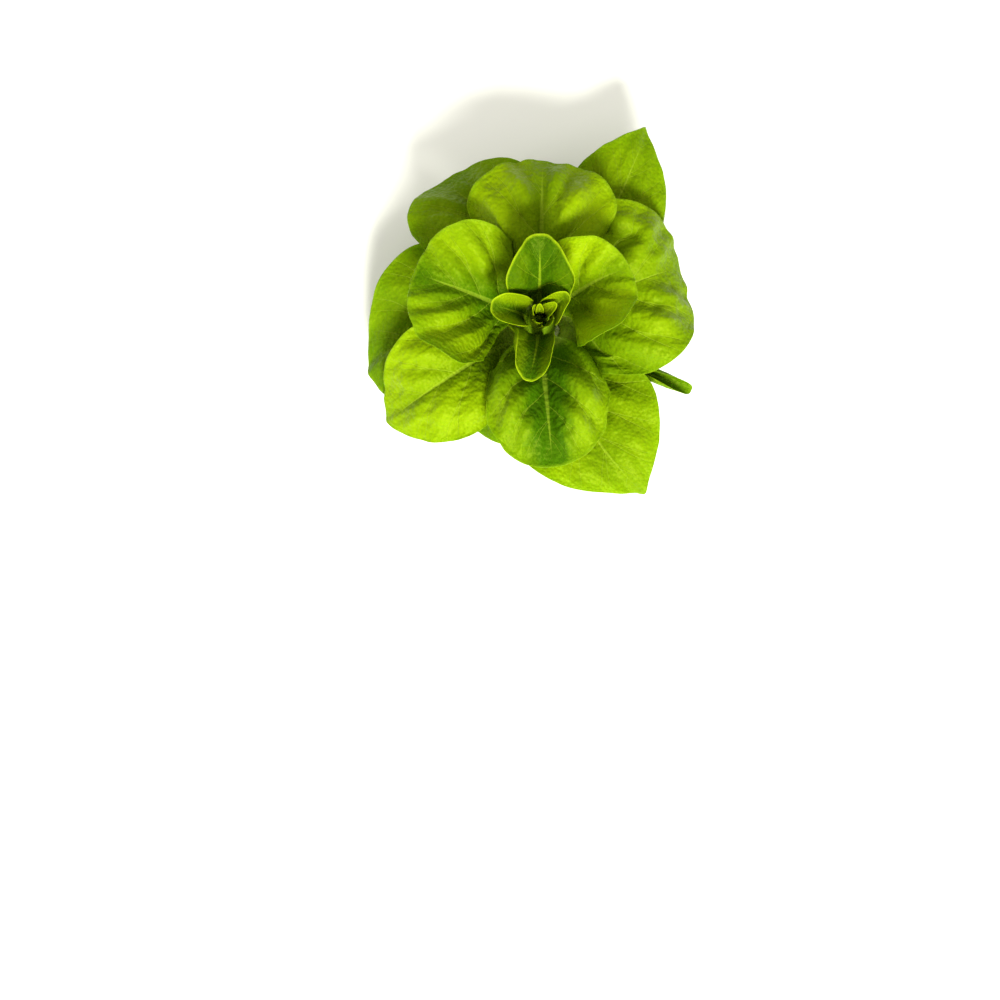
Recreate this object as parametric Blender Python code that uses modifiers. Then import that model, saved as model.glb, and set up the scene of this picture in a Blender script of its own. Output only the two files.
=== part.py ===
"""A butterhead lettuce, cut at the butt and standing on the cut, as a Blender script.

The stem is a short cone. The leaves grow round it, each one below and outside the last,
and lie on each other without touching. The tiny leaves at the growing tip are one solid.
Metres, +Z up. The origin is the centre of the cut face, so the head stands on z = 0.
"""

import math
from dataclasses import dataclass

import bmesh
import bpy
import numpy as np
from mathutils import Vector
from mathutils.bvhtree import BVHTree

# The stem: a cone that narrows from the cut upwards, with a softened rim at the cut.
STEM_HEIGHT = 0.044
STEM_FOOT_RADIUS = 0.0155
STEM_TOP_RADIUS = 0.0065
STEM_EDGE = 0.0012
STEM_SIDES = 28

# The growing tip: a small cone on the stem that the heart's tiny leaves are rooted in.
TIP_GAP = 0.0004
TIP_HEIGHT = 0.018
TIP_FOOT_RADIUS = 0.0056
TIP_TOP_RADIUS = 0.0012
TIP_SIDES = 12
ROOT_DEPTH = 0.0010

# A leaf's own thicknesses, and the air that is kept between two neighbours.
BLADE_THICKNESS = 0.0008
RIB_THICKNESS = 0.0026
RIB_HALF_WIDTH = 0.0036
RIB_TIP_SHARE = 0.35  # how much of the midrib's width is left at the leaf's tip
RIB_FADE = 1.3
FULL_RIB_WIDTH = 0.08  # a leaf at least this wide has the full midrib
FOOT_WIDTH = 0.75  # times the radius it stands at
FOOT_OF_BLADE = 0.3  # the most of the blade's width that a foot has
FOOT_BEND = 0.006
FOOT_SHARE = 0.3  # of the leaf's length, over which it unrolls from the stem's curve to its own cup
STEM_GAP = 0.0004
LEAF_GAP = 0.0009

# How a blade's outline is drawn: an egg, and a hollow-sided wedge from it down to the foot.
# Each pair holds a plain leaf's value and that of one with a slim lower half, as shares of its length.
EGG_CENTRE = (0.60, 0.73)
EGG_LOWER = (0.42, 0.22)
WEDGE_HOLLOW = (1.35, 3.0)
LEAST_HOLLOW = 1.1
EGG_END = math.radians(122)

# Where on the way out from the foot to the margin, or along the leaf, each swelling begins and is full.
PILLOW_SPAN = (0.15, 0.5)
PILLOW_END = (0.75, 1.0)  # over which the pillow fades out again
CLASP_SPAN = (0.40, 0.75)  # over which the clasp loosens
LEAN_SPAN = (0.3, 1.0)
CURL_SPAN = (0.55, 1.0)
CURL_POWER = 1.5
WAVE_SPAN = (0.45, 1.0)
LEAST_BEND = 0.001

# The grid of a blade: rows run along it, columns run across, closer together at the midrib and the margin.
COLUMN_CROWDING = 1.35
ROW_CROWDING = 1.3

# Settling: neighbours are pushed apart a little at a time.
SETTLE_ROUNDS = 40
SETTLE_REACH = 0.014
REACH_SHARE = 0.3  # of the narrower leaf's width, where that is less
SETTLE_STEP = 0.002
SETTLED = 0.00008
SETTLE_SPREAD = 0.4  # how much of a push is shared with the points around it
ROOTED = 0.08  # of the way out from the foot, over which a leaf gets free to move
NESTED = 0.25  # two leaves lie one in the other where their normals agree at least this well
SQUARE_ON = 0.6  # a nearest point further to the side than this lies past the other leaf's edge


@dataclass(frozen=True)
class Leaf:
    """One leaf. Angles are in degrees; azimuth is seen from above, from +X towards +Y."""

    name: str
    azimuth: float
    foot: float  # height of the foot on the stem
    path: tuple  # (radius, height) of the midrib's two guide points and of its tip
    width: float  # across the flattened blade
    cup: float  # how far each side turns up
    curl: float = 0.0  # how far the margin rolls back; below zero it stands up
    pillow: float = 0.0  # how far each half swells up beside the midrib
    wave: float = 0.0  # height of the margin's waves
    waves: float = 2.0  # waves along the margin
    sweep: float = 0.0  # how far the tip swings sideways, in degrees round the stem
    point: float = 0.0  # how pointed the tip is; 0 is round, and below zero it is squarer
    slim: float = 0.0  # how slim the lower half is, up to 1; below zero it is broad
    clasp: float = 0.0  # how much tighter the lower half is cupped
    lean: float = 0.0  # how far the left side stands up and the right one rolls down
    rows: int = 12
    columns: int = 10


# The tiny leaves of the heart, from the innermost outwards.
HEART = (
    Leaf(
        "heart_1", azimuth=96, foot=0.0520, path=((0.0022, 0.062), (0.0014, 0.076), (0.0055, 0.087)),
        width=0.0055, cup=60, slim=0.6, rows=7, columns=6,
    ),
    Leaf(
        "heart_2", azimuth=130, foot=0.0500, path=((0.0030, 0.060), (0.0020, 0.074), (0.0058, 0.083)),
        width=0.0055, cup=60, slim=0.4, rows=7, columns=6,
    ),
    Leaf(
        "heart_3", azimuth=32, foot=0.0480, path=((0.0038, 0.060), (0.0028, 0.076), (0.0110, 0.086)),
        width=0.0090, cup=70, slim=0.5, rows=7, columns=6,
    ),
    Leaf(
        "heart_4", azimuth=250, foot=0.0464, path=((0.0044, 0.058), (0.0034, 0.070), (0.0050, 0.079)),
        width=0.0070, cup=60, slim=0.5, rows=7, columns=6,
    ),
    Leaf(
        "heart_5", azimuth=325, foot=0.0450, path=((0.0052, 0.056), (0.0046, 0.067), (0.0085, 0.077)),
        width=0.0120, cup=55, slim=0.4, rows=7, columns=6,
    ),
)

# The other leaves, from the innermost outwards.
LEAVES = (
    Leaf(
        "inner_leaf_1", azimuth=32, foot=0.0410, path=((0.0095, 0.060), (0.0065, 0.081), (0.020, 0.093)),
        width=0.018, cup=95, clasp=0.5, curl=-0.0010, slim=1.0, rows=9, columns=8,
    ),
    Leaf(
        "inner_leaf_2", azimuth=173, foot=0.0392, path=((0.0105, 0.058), (0.0080, 0.084), (0.030, 0.092)),
        width=0.028, cup=90, clasp=0.6, curl=-0.002, slim=1.0, rows=10, columns=8,
    ),
    Leaf(
        "inner_leaf_3", azimuth=266, foot=0.0374, path=((0.0115, 0.057), (0.0085, 0.088), (0.041, 0.094)),
        width=0.034, cup=100, clasp=0.3, curl=-0.001, point=0.3, slim=1.0, sweep=-6, rows=10, columns=8,
    ),
    Leaf(
        "inner_leaf_4", azimuth=91, foot=0.0356, path=((0.0125, 0.057), (0.0105, 0.092), (0.045, 0.102)),
        width=0.038, cup=75, clasp=0.9, curl=-0.004, slim=1.0, rows=10, columns=8,
    ),
    Leaf(
        "middle_leaf_1", azimuth=35, foot=0.0336, path=((0.018, 0.050), (0.030, 0.082), (0.059, 0.086)),
        width=0.076, cup=66, curl=-0.004, pillow=0.004, lean=-0.009, slim=0.5, sweep=-8,
        wave=0.0015, waves=2,
    ),
    Leaf(
        "middle_leaf_2", azimuth=162, foot=0.0312, path=((0.019, 0.046), (0.040, 0.086), (0.078, 0.080)),
        width=0.091, cup=42, curl=-0.001, pillow=0.004, lean=0.005, slim=0.4,
        wave=0.0022, waves=3,
    ),
    Leaf(
        "middle_leaf_3", azimuth=275, foot=0.0288, path=((0.022, 0.056), (0.055, 0.062), (0.089, 0.067)),
        width=0.079, cup=36, curl=0.006, pillow=0.011, point=-0.1, slim=-0.2, wave=0.0015, waves=3,
    ),
    Leaf(
        "middle_leaf_4", azimuth=89, foot=0.0264, path=((0.021, 0.042), (0.056, 0.098), (0.098, 0.070)),
        width=0.089, cup=6, curl=0.008, pillow=0.006, slim=0.5, wave=0.0010, waves=2,
    ),
    Leaf(
        "outer_leaf_1", azimuth=20, foot=0.0240, path=((0.026, 0.038), (0.060, 0.090), (0.0945, 0.053)),
        width=0.108, cup=15, curl=0.005, pillow=0.005, point=-0.25, slim=-0.6, wave=0.0025, waves=3,
    ),
    Leaf(
        "outer_leaf_2", azimuth=213, foot=0.0218, path=((0.027, 0.034), (0.062, 0.080), (0.114, 0.036)),
        width=0.075, cup=15, curl=0.004, pillow=0.004, point=0.8, slim=-0.2, wave=0.0020, waves=2,
    ),
    Leaf(
        "outer_leaf_3", azimuth=112, foot=0.0198, path=((0.027, 0.034), (0.064, 0.080), (0.106, 0.050)),
        width=0.084, cup=15, curl=0.005, pillow=0.004, point=-0.2, slim=0.4, sweep=15,
        wave=0.0020, waves=3,
    ),
    Leaf(
        "outer_leaf_4", azimuth=53.5, foot=0.0178, path=((0.028, 0.030), (0.078, 0.066), (0.134, 0.046)),
        width=0.065, cup=-15, point=1.3, sweep=7.5, wave=0.0020, waves=2,
    ),
    Leaf(
        "outer_leaf_5", azimuth=292, foot=0.0158, path=((0.028, 0.026), (0.074, 0.062), (0.124, 0.036)),
        width=0.092, cup=10, pillow=0.003, point=1.2, sweep=9.5, slim=-0.8, wave=0.0025, waves=3,
    ),
    Leaf(
        "outer_leaf_6", azimuth=180, foot=0.0138, path=((0.028, 0.023), (0.070, 0.056), (0.111, 0.032)),
        width=0.108, cup=10, curl=0.003, pillow=0.003, point=0.8, sweep=16, wave=0.0020, waves=3,
    ),
    Leaf(
        "low_leaf_1", azimuth=334, foot=0.0118, path=((0.030, 0.019), (0.064, 0.038), (0.103, 0.030)),
        width=0.022, cup=160, sweep=2, rows=10, columns=8,
    ),
    Leaf(
        "low_leaf_2", azimuth=105, foot=0.0100, path=((0.030, 0.016), (0.056, 0.036), (0.080, 0.020)),
        width=0.080, cup=20, curl=0.002, wave=0.0020, waves=3,
    ),
    Leaf(
        "low_leaf_3", azimuth=240, foot=0.0085, path=((0.030, 0.013), (0.052, 0.034), (0.078, 0.016)),
        width=0.076, cup=20, curl=0.002, wave=0.0020, waves=2,
    ),
    Leaf(
        "low_leaf_4", azimuth=20, foot=0.0070, path=((0.030, 0.011), (0.050, 0.032), (0.072, 0.014)),
        width=0.072, cup=20, curl=0.002, wave=0.0020, waves=3,
    ),
)


def smooth(low, high, value):
    """0 below low, 1 above high, and an S between them."""
    t = np.clip((value - low) / (high - low), 0, 1)
    return t * t * (3 - 2 * t)


def stem_radius(height):
    share = min(max(height / STEM_HEIGHT, 0), 1)
    return STEM_FOOT_RADIUS + (STEM_TOP_RADIUS - STEM_FOOT_RADIUS) * share


def foot_radius(height):
    """Where a leaf's foot stands: just off the stem, or a little way into the growing tip."""
    if height < STEM_HEIGHT:
        return stem_radius(height) + STEM_GAP
    share = (height - STEM_HEIGHT) / TIP_HEIGHT
    return TIP_FOOT_RADIUS + (TIP_TOP_RADIUS - TIP_FOOT_RADIUS) * share - ROOT_DEPTH


def core_radius(height):
    """The stem and the growing tip together, at many heights."""
    tip = (height - STEM_HEIGHT) / TIP_HEIGHT
    tip_radius = TIP_FOOT_RADIUS + (TIP_TOP_RADIUS - TIP_FOOT_RADIUS) * tip
    stem = STEM_FOOT_RADIUS + (STEM_TOP_RADIUS - STEM_FOOT_RADIUS) * height / STEM_HEIGHT
    radius = np.where(height < STEM_HEIGHT + STEM_GAP, stem, tip_radius)
    return np.where(height < STEM_HEIGHT + TIP_HEIGHT + 2 * STEM_GAP, radius, 0)


def spine(leaf):
    """The midrib as a Bezier in the plane of radius and height: its length, and a function
    from the distance along it to radius, height and their rates of change."""
    foot = (foot_radius(leaf.foot), leaf.foot)
    a, b, c, d = (np.array(p) for p in (foot, *leaf.path))
    t = np.linspace(0, 1, 161)[:, None]
    points = a * (1 - t) ** 3 + 3 * b * t * (1 - t) ** 2 + 3 * c * t * t * (1 - t) + d * t**3
    steps = np.linalg.norm(np.diff(points, axis=0), axis=1)
    along = np.concatenate([[0], np.cumsum(steps)])
    rates = np.gradient(points, along, axis=0)

    def at(distance):
        inside = np.clip(distance, 0, along[-1])
        values = [np.interp(inside, along, column) for column in (*points.T, *rates.T)]
        beyond = distance - inside
        values[0] = values[0] + beyond * values[2]
        values[1] = values[1] + beyond * values[3]
        return values

    return along[-1], at


def flat_blade(leaf, length):
    """The flattened leaf: x across, y along, and each point's share of the way out to the margin."""
    out = 1 - (1 - np.linspace(0, 1, leaf.rows + 1)) ** ROW_CROWDING
    side = np.linspace(1, -1, leaf.columns + 1)
    side = np.sign(side) * np.abs(side) ** COLUMN_CROWDING
    out, side = np.meshgrid(out, side, indexing="ij")
    turn = side * EGG_END
    pairs = (EGG_CENTRE, EGG_LOWER, WEDGE_HOLLOW)
    centre, lower, hollow = (plain + (slim - plain) * leaf.slim for plain, slim in pairs)
    hollow = max(hollow, LEAST_HOLLOW)
    reach = np.where(np.cos(turn) > 0, 1 - centre, lower) * length
    upper = np.abs(turn) < math.pi / 2
    margin_x = leaf.width / 2 * np.sign(turn) * np.sin(np.abs(turn)) ** np.where(upper, 1 + leaf.point, 1)
    margin_y = centre * length + reach * np.cos(turn)
    foot_x = side * min(FOOT_WIDTH * foot_radius(leaf.foot), FOOT_OF_BLADE * leaf.width) / 2
    return foot_x + (margin_x - foot_x) * out**hollow, margin_y * out, out, side


def leaf_surface(leaf):
    """The leaf's upper face as a grid of points, rows by columns."""
    length, spine_at = spine(leaf)
    x, y, out, side = flat_blade(leaf, length)
    radius, height, radius_rate, height_rate = spine_at(y)
    half = leaf.width / 2
    unrolled = smooth(0, FOOT_SHARE * length, y)
    cupped = math.radians(leaf.cup) / half * (1 + leaf.clasp * (1 - smooth(*CLASP_SPAN, y / length)))
    bend = (1 - unrolled) / max(foot_radius(leaf.foot), FOOT_BEND) + unrolled * cupped
    bend = np.where(np.abs(bend) < LEAST_BEND, LEAST_BEND, bend)
    across = np.sin(bend * x) / bend
    above = (1 - np.cos(bend * x)) / bend
    share = np.clip(np.abs(x) / half, 0, 1)
    swollen = smooth(*PILLOW_SPAN, y / length) * (1 - smooth(*PILLOW_END, out))
    above = above + leaf.pillow * np.sin(math.pi * share) * swollen
    above = above + leaf.lean * np.sign(x) * share**2 * smooth(*LEAN_SPAN, out)
    above = above - leaf.curl * smooth(*CURL_SPAN, out) ** CURL_POWER
    above = above + leaf.wave * np.sin(math.pi * leaf.waves * side) * smooth(*WAVE_SPAN, out)
    turn = np.radians(leaf.azimuth + leaf.sweep * (y / length) ** 2)
    outwards = np.stack([np.cos(turn), np.sin(turn), 0 * turn], -1)
    sideways = np.stack([-np.sin(turn), np.cos(turn), 0 * turn], -1)
    upwards = np.array([0.0, 0.0, 1.0])
    normal = radius_rate[..., None] * upwards - height_rate[..., None] * outwards
    points = radius[..., None] * outwards + height[..., None] * upwards
    return points + across[..., None] * sideways + above[..., None] * normal


def thickness(leaf, x, y, length):
    """Blade and midrib together, thickest at the foot."""
    rest = np.clip(1 - y / length, 0, 1)
    rib_width = RIB_HALF_WIDTH * (RIB_TIP_SHARE + (1 - RIB_TIP_SHARE) * rest)
    rib = RIB_THICKNESS * min(1, leaf.width / FULL_RIB_WIDTH) * rest**RIB_FADE
    rib = rib * np.exp(-((x / rib_width) ** 2))
    return BLADE_THICKNESS + rib


def grid_triangles(rows, columns):
    """Each cell of a grid as two triangles that face the way its rows and columns turn."""
    corner = (np.arange(rows)[:, None] * (columns + 1) + np.arange(columns)).ravel()
    right, up = corner + 1, corner + columns + 1
    return np.concatenate([np.stack([corner, right, up + 1], 1), np.stack([corner, up + 1, up], 1)])


def vertex_normals(points, triangles):
    a, b, c = (points[triangles[:, i]] for i in range(3))
    facing = np.cross(b - a, c - a)
    normals = np.zeros_like(points)
    for i in range(3):
        np.add.at(normals, triangles[:, i], facing)
    return normals / np.maximum(np.linalg.norm(normals, axis=1, keepdims=True), 1e-12)


class Sheet:
    """A leaf while it settles: the points of its upper face, and its thickness at each."""

    def __init__(self, leaf):
        self.leaf = leaf
        length, _ = spine(leaf)
        x, y, out, _ = flat_blade(leaf, length)
        self.shape = x.shape
        self.points = leaf_surface(leaf).reshape(-1, 3)
        self.thick = thickness(leaf, x, y, length).ravel()
        self.freedom = smooth(0.0, ROOTED, out.ravel())
        self.triangles = grid_triangles(leaf.rows, leaf.columns)

    def middle(self):
        """The surface halfway through the thickness, its normals, and a tree to search it with."""
        normals = vertex_normals(self.points, self.triangles)
        points = self.points - normals * self.thick[:, None] / 2
        return points, normals, BVHTree.FromPolygons(points.tolist(), self.triangles.tolist())


def shortfall(above, gap, nested, want_above):
    """How far along the normal a point has to move to be at least gap from a surface:
    on the side that nesting asks for, or else on the side where it already is."""
    if not nested:
        want_above = above > 0
    missing = gap - above if want_above else gap + above
    if missing <= 0:
        return 0
    return missing if want_above else -missing


def push_clear(sheet, inner):
    """How each point of sheet has to move to clear the inner leaf."""
    push = np.zeros_like(sheet.points)

    def ask(i, move):
        if np.linalg.norm(move) > np.linalg.norm(push[i]):
            push[i] = move

    reach = min(SETTLE_REACH, REACH_SHARE * min(sheet.leaf.width, inner.leaf.width))
    points, normals, tree = sheet.middle()
    inner_points, inner_normals, inner_tree = inner.middle()
    low, high = inner_points.min(0) - reach, inner_points.max(0) + reach
    for i in np.flatnonzero(((points > low) & (points < high)).all(1)):
        spot, facing, face, far = inner_tree.find_nearest(Vector(points[i]), reach)
        if spot is None:
            continue
        above = (Vector(points[i]) - spot).dot(facing)
        if abs(above) < SQUARE_ON * far - 1e-4:
            continue
        gap = LEAF_GAP + (sheet.thick[i] + inner.thick[inner.triangles[face]].max()) / 2
        nested = facing.dot(Vector(normals[i])) > NESTED
        ask(i, np.array(facing) * shortfall(above, gap, nested, False))
    low, high = points.min(0) - reach, points.max(0) + reach
    for i in np.flatnonzero(((inner_points > low) & (inner_points < high)).all(1)):
        spot, facing, face, far = tree.find_nearest(Vector(inner_points[i]), reach)
        if spot is None:
            continue
        above = (Vector(inner_points[i]) - spot).dot(facing)
        if abs(above) < SQUARE_ON * far - 1e-4:
            continue
        corners = sheet.triangles[face]
        gap = LEAF_GAP + (inner.thick[i] + sheet.thick[corners].max()) / 2
        nested = facing.dot(Vector(inner_normals[i])) > NESTED
        for corner in corners:
            ask(corner, -np.array(facing) * shortfall(above, gap, nested, True))
    return push


def off_the_core(sheet):
    """How each point of sheet has to move to stay outside the stem and the growing tip."""
    radius = np.hypot(sheet.points[:, 0], sheet.points[:, 1])
    missing = np.maximum(core_radius(sheet.points[:, 2]) + STEM_GAP - radius, 0)
    away = sheet.points * (1, 1, 0) / np.maximum(radius, 1e-6)[:, None]
    return away * missing[:, None]


def settle(sheets):
    """From the heart outwards, bends each leaf clear of those inside it."""
    for k, sheet in enumerate(sheets):
        for _ in range(SETTLE_ROUNDS):
            push = off_the_core(sheet) if k >= len(HEART) else np.zeros_like(sheet.points)
            for inner in sheets[:k]:
                wanted = push_clear(sheet, inner)
                larger = np.linalg.norm(wanted, axis=1) > np.linalg.norm(push, axis=1)
                push[larger] = wanted[larger]
            size = np.linalg.norm(push, axis=1, keepdims=True)
            if size.max() < SETTLED:
                break
            push = push * np.minimum(1, SETTLE_STEP / np.maximum(size, 1e-9)) * sheet.freedom[:, None]
            spread = push.reshape(*sheet.shape, 3)
            padded = np.pad(spread, ((1, 1), (1, 1), (0, 0)), mode="edge")
            around = (padded[:-2, 1:-1] + padded[2:, 1:-1] + padded[1:-1, :-2] + padded[1:-1, 2:]) / 4
            spread = (1 - SETTLE_SPREAD) * spread + SETTLE_SPREAD * around
            sheet.points = sheet.points + spread.reshape(-1, 3) * sheet.freedom[:, None]
    return sheets


def material(name, colour, roughness):
    made = bpy.data.materials.new(name)
    made.use_nodes = True
    shader = made.node_tree.nodes["Principled BSDF"]
    shader.inputs["Base Color"].default_value = (*colour, 1)
    shader.inputs["Roughness"].default_value = roughness
    made.diffuse_color = (*colour, 1)
    return made


def leaf_object(sheet, collection, finish):
    """A grid moved onto the sheet's points, thickened away from its upper face."""
    leaf = sheet.leaf
    mesh = bpy.data.meshes.new(leaf.name)
    form = bmesh.new()
    bmesh.ops.create_grid(form, x_segments=leaf.columns, y_segments=leaf.rows, size=1)
    form.verts.ensure_lookup_table()
    for vertex, point in zip(form.verts, sheet.points):
        vertex.co = point
    bmesh.ops.triangulate(form, faces=form.faces[:])
    form.to_mesh(mesh)
    form.free()
    mesh.shade_smooth()
    obj = bpy.data.objects.new(leaf.name, mesh)
    collection.objects.link(obj)
    obj.data.materials.append(finish)
    thickest = float(sheet.thick.max())
    group = obj.vertex_groups.new(name="thickness")
    for index, thick in enumerate(sheet.thick):
        group.add([index], float(thick) / thickest, "REPLACE")
    solid = obj.modifiers.new("Thickness", "SOLIDIFY")
    solid.thickness = thickest
    solid.offset = -1
    solid.vertex_group = group.name
    return obj


def turned_object(name, profile, sides, collection, finish):
    """A profile of radius and height, down the outer side, turned about the axis."""
    mesh = bpy.data.meshes.new(name)
    mesh.from_pydata([(r, 0, z) for r, z in profile], [(i, i + 1) for i in range(len(profile) - 1)], [])
    obj = bpy.data.objects.new(name, mesh)
    collection.objects.link(obj)
    obj.data.materials.append(finish)
    screw = obj.modifiers.new("Turn", "SCREW")
    screw.steps = screw.render_steps = sides
    screw.use_merge_vertices = True
    screw.merge_threshold = 0.00005
    screw.use_smooth_shade = True
    return obj


def stem_object(collection, finish):
    profile = [
        (0, STEM_HEIGHT),
        (STEM_TOP_RADIUS, STEM_HEIGHT),
        (stem_radius(STEM_EDGE), STEM_EDGE),
        (STEM_FOOT_RADIUS - STEM_EDGE, 0),
        (0, 0),
    ]
    return turned_object("stem", profile, STEM_SIDES, collection, finish)


def heart_object(sheets, collection, finish):
    """The growing tip with the tiny leaves rooted in it, joined into one solid."""
    foot = STEM_HEIGHT + TIP_GAP
    top = foot + TIP_HEIGHT
    profile = [(0, top), (TIP_TOP_RADIUS, top), (TIP_FOOT_RADIUS, foot), (0, foot)]
    heart = turned_object("heart", profile, TIP_SIDES, collection, finish)
    tiny = bpy.data.collections.new("tiny_leaves")
    bpy.context.scene.collection.children.link(tiny)
    for sheet in sheets:
        leaf_object(sheet, tiny, finish)
    join = heart.modifiers.new("Join", "BOOLEAN")
    join.operation = "UNION"
    join.operand_type = "COLLECTION"
    join.collection = tiny
    join.solver = "MANIFOLD"
    bpy.context.view_layer.update()
    graph = bpy.context.evaluated_depsgraph_get()
    joined = bpy.data.meshes.new_from_object(heart.evaluated_get(graph))
    joined.name = "heart"
    heart.modifiers.clear()
    heart.data = joined
    for obj in list(tiny.objects):
        bpy.data.objects.remove(obj)
    bpy.data.collections.remove(tiny)
    return heart


def main():
    for obj in list(bpy.data.objects):
        bpy.data.objects.remove(obj)
    head = bpy.data.collections.new("butterhead_lettuce")
    bpy.context.scene.collection.children.link(head)
    leaf_green = material("leaf_green", (0.16, 0.36, 0.02), 0.42)
    heart_green = material("heart_green", (0.38, 0.55, 0.05), 0.42)
    stem_pale = material("stem_pale", (0.62, 0.68, 0.42), 0.55)
    stem_object(head, stem_pale)
    sheets = settle([Sheet(leaf) for leaf in HEART + LEAVES])
    heart_object(sheets[: len(HEART)], head, heart_green)
    for sheet in sheets[len(HEART) :]:
        inner = sheet.leaf.name.startswith("inner")
        leaf_object(sheet, head, heart_green if inner else leaf_green)


main()
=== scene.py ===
"""A butterhead lettuce on a pale floor, seen from straight above, in soft light from one side.

Each leaf is drawn from the same few sizes as its solid in the frame, bent clear of its neighbours
in the same way, and then refined: quilted between its veins, blistered, grooved and thinned at the rim.
Metres, +Z up. The origin is the centre of the stem's cut face.
"""

import math
from dataclasses import dataclass

import bpy
import numpy as np
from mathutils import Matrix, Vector, noise
from mathutils.bvhtree import BVHTree


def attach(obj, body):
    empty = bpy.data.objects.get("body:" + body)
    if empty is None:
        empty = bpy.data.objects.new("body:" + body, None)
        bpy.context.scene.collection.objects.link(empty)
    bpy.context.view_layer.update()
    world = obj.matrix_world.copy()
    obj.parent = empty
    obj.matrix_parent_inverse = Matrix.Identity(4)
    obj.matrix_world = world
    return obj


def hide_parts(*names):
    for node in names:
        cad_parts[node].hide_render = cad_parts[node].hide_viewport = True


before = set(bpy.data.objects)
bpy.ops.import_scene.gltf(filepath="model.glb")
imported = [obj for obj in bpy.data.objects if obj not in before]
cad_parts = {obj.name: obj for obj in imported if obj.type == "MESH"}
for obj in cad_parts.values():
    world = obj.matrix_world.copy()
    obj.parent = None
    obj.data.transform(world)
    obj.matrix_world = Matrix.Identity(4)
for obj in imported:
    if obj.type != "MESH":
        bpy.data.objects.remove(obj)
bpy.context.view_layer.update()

# The stem and the growing tip, as in the frame.
STEM_HEIGHT = 0.044
STEM_FOOT_RADIUS = 0.0155
STEM_TOP_RADIUS = 0.0065
STEM_EDGE = 0.0012
TIP_GAP = 0.0004
TIP_HEIGHT = 0.018
TIP_FOOT_RADIUS = 0.0056
TIP_TOP_RADIUS = 0.0012
ROOT_DEPTH = 0.0010

# A leaf's thicknesses in the frame, and the air that is kept between two neighbours.
BLADE_THICKNESS = 0.0008
RIB_THICKNESS = 0.0026
RIB_HALF_WIDTH = 0.0036
RIB_TIP_SHARE = 0.35
RIB_FADE = 1.3
FULL_RIB_WIDTH = 0.08  # narrower leaves have a thinner midrib
FOOT_WIDTH = 0.75  # the foot's width, over the stem's radius there
FOOT_OF_BLADE = 0.3  # and at most this share of the blade's width
FOOT_BEND = 0.006  # least radius that a foot is bent round
FOOT_SHARE = 0.3  # of the length, over which the foot's bend gives way to the blade's
STEM_GAP = 0.0004
LEAF_GAP = 0.0009

# A blade's outline, as in the frame: an egg, and a hollow-sided wedge from it down to the foot.
# Each pair is for a slimness of 0 and of 1.
EGG_CENTRE = (0.60, 0.73)
EGG_LOWER = (0.42, 0.22)
WEDGE_HOLLOW = (1.35, 3.0)
LEAST_HOLLOW = 1.1
EGG_END = math.radians(122)  # how far round the egg each margin runs

# How a blade is bent. A span is where each form sets in, as a share of the way along or out.
SPINE_STEPS = 160
PILLOW_SPAN = (0.15, 0.5)
PILLOW_END = (0.75, 1.0)
CLASP_SPAN = (0.40, 0.75)
LEAN_SPAN = (0.3, 1.0)
CURL_SPAN = (0.55, 1.0)
CURL_POWER = 1.5
WAVE_SPAN = (0.45, 1.0)
LEAST_BEND = 0.001  # a blade that isn't cupped is bent as little as this, in radians a metre
COLUMN_CROWDING = 1.35  # above 1, columns lie closer near the midrib, and rows near the margin
ROW_CROWDING = 1.3

# Settling: neighbours are pushed apart a little at a time, first as in the frame and then on a denser grid.
SETTLE_ROUNDS = 40
DENSE_ROUNDS = 10
SETTLE_REACH = 0.014  # how far a leaf looks for a neighbour, at most
REACH_SHARE = 0.3  # and as a share of the narrower leaf's width
SETTLE_STEP = 0.002  # the largest move in one round
SETTLED = 0.00008  # moves smaller than this end the rounds
SETTLE_SPREAD = 0.4  # how much of each move is shared with the points around
ROOTED = 0.08  # share of the way out over which a leaf is held at its foot
NESTED = 0.25  # leaves whose normals agree more than this lie one in the other
SQUARE_ON = 0.6  # least share of the distance to a neighbour that lies along its normal
SQUARE_SLACK = 0.0001
NO_LENGTH = 1e-12

# The refined blade.
DENSE = 3  # points of the denser grid for each of the frame's
ROW_PITCH = 0.0011
COLUMN_PITCH = 0.0018
MARGIN_SHARE = 1.3  # the margin's length, over the width and half the length
LEAST_ROWS = 16
LEAST_PAIRS = 10
FINE_CROWDING = 1.12
POINT_SPREAD = 0.75  # see spread_crowding
FINE_BLADE = 0.00055
FINE_RIM = 0.00030
RIM_SPAN = (0.86, 1.0)
RIM_ROUND = 0.45  # how far the rim bulges, as a share of its thickness
TIP_FADE = (0.80, 0.94)  # where the groove and the blisters die out towards the tip
MIDRIB_GREEN_AND_SHADE_SHARE = 0.55  # of the half width: how far the deeper green, partly painted shade, reaches from the midrib

# Veins: side veins leave the midrib at a wide angle near the foot and a narrow one near the tip.
VEIN_RISE = 0.45
VEIN_FAN = 1.5
VEIN_ARCH = 0.25
VEIN_DRIFT = 0.0030
DRIFT_SIZE = 0.030
DRIFT_START = 0.012
QUILT_POWER = 0.75
QUILT_SIDE_SPAN = (0.0, 0.3)
QUILT_FOOT_SPAN = (0.12, 0.4)
QUILT_RIM_SPAN = (0.75, 1.0)
QUILT_RIM_LOSS = 0.55
VEIN_RIDGE = 0.0004
RIDGE_POWER = 5

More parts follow.
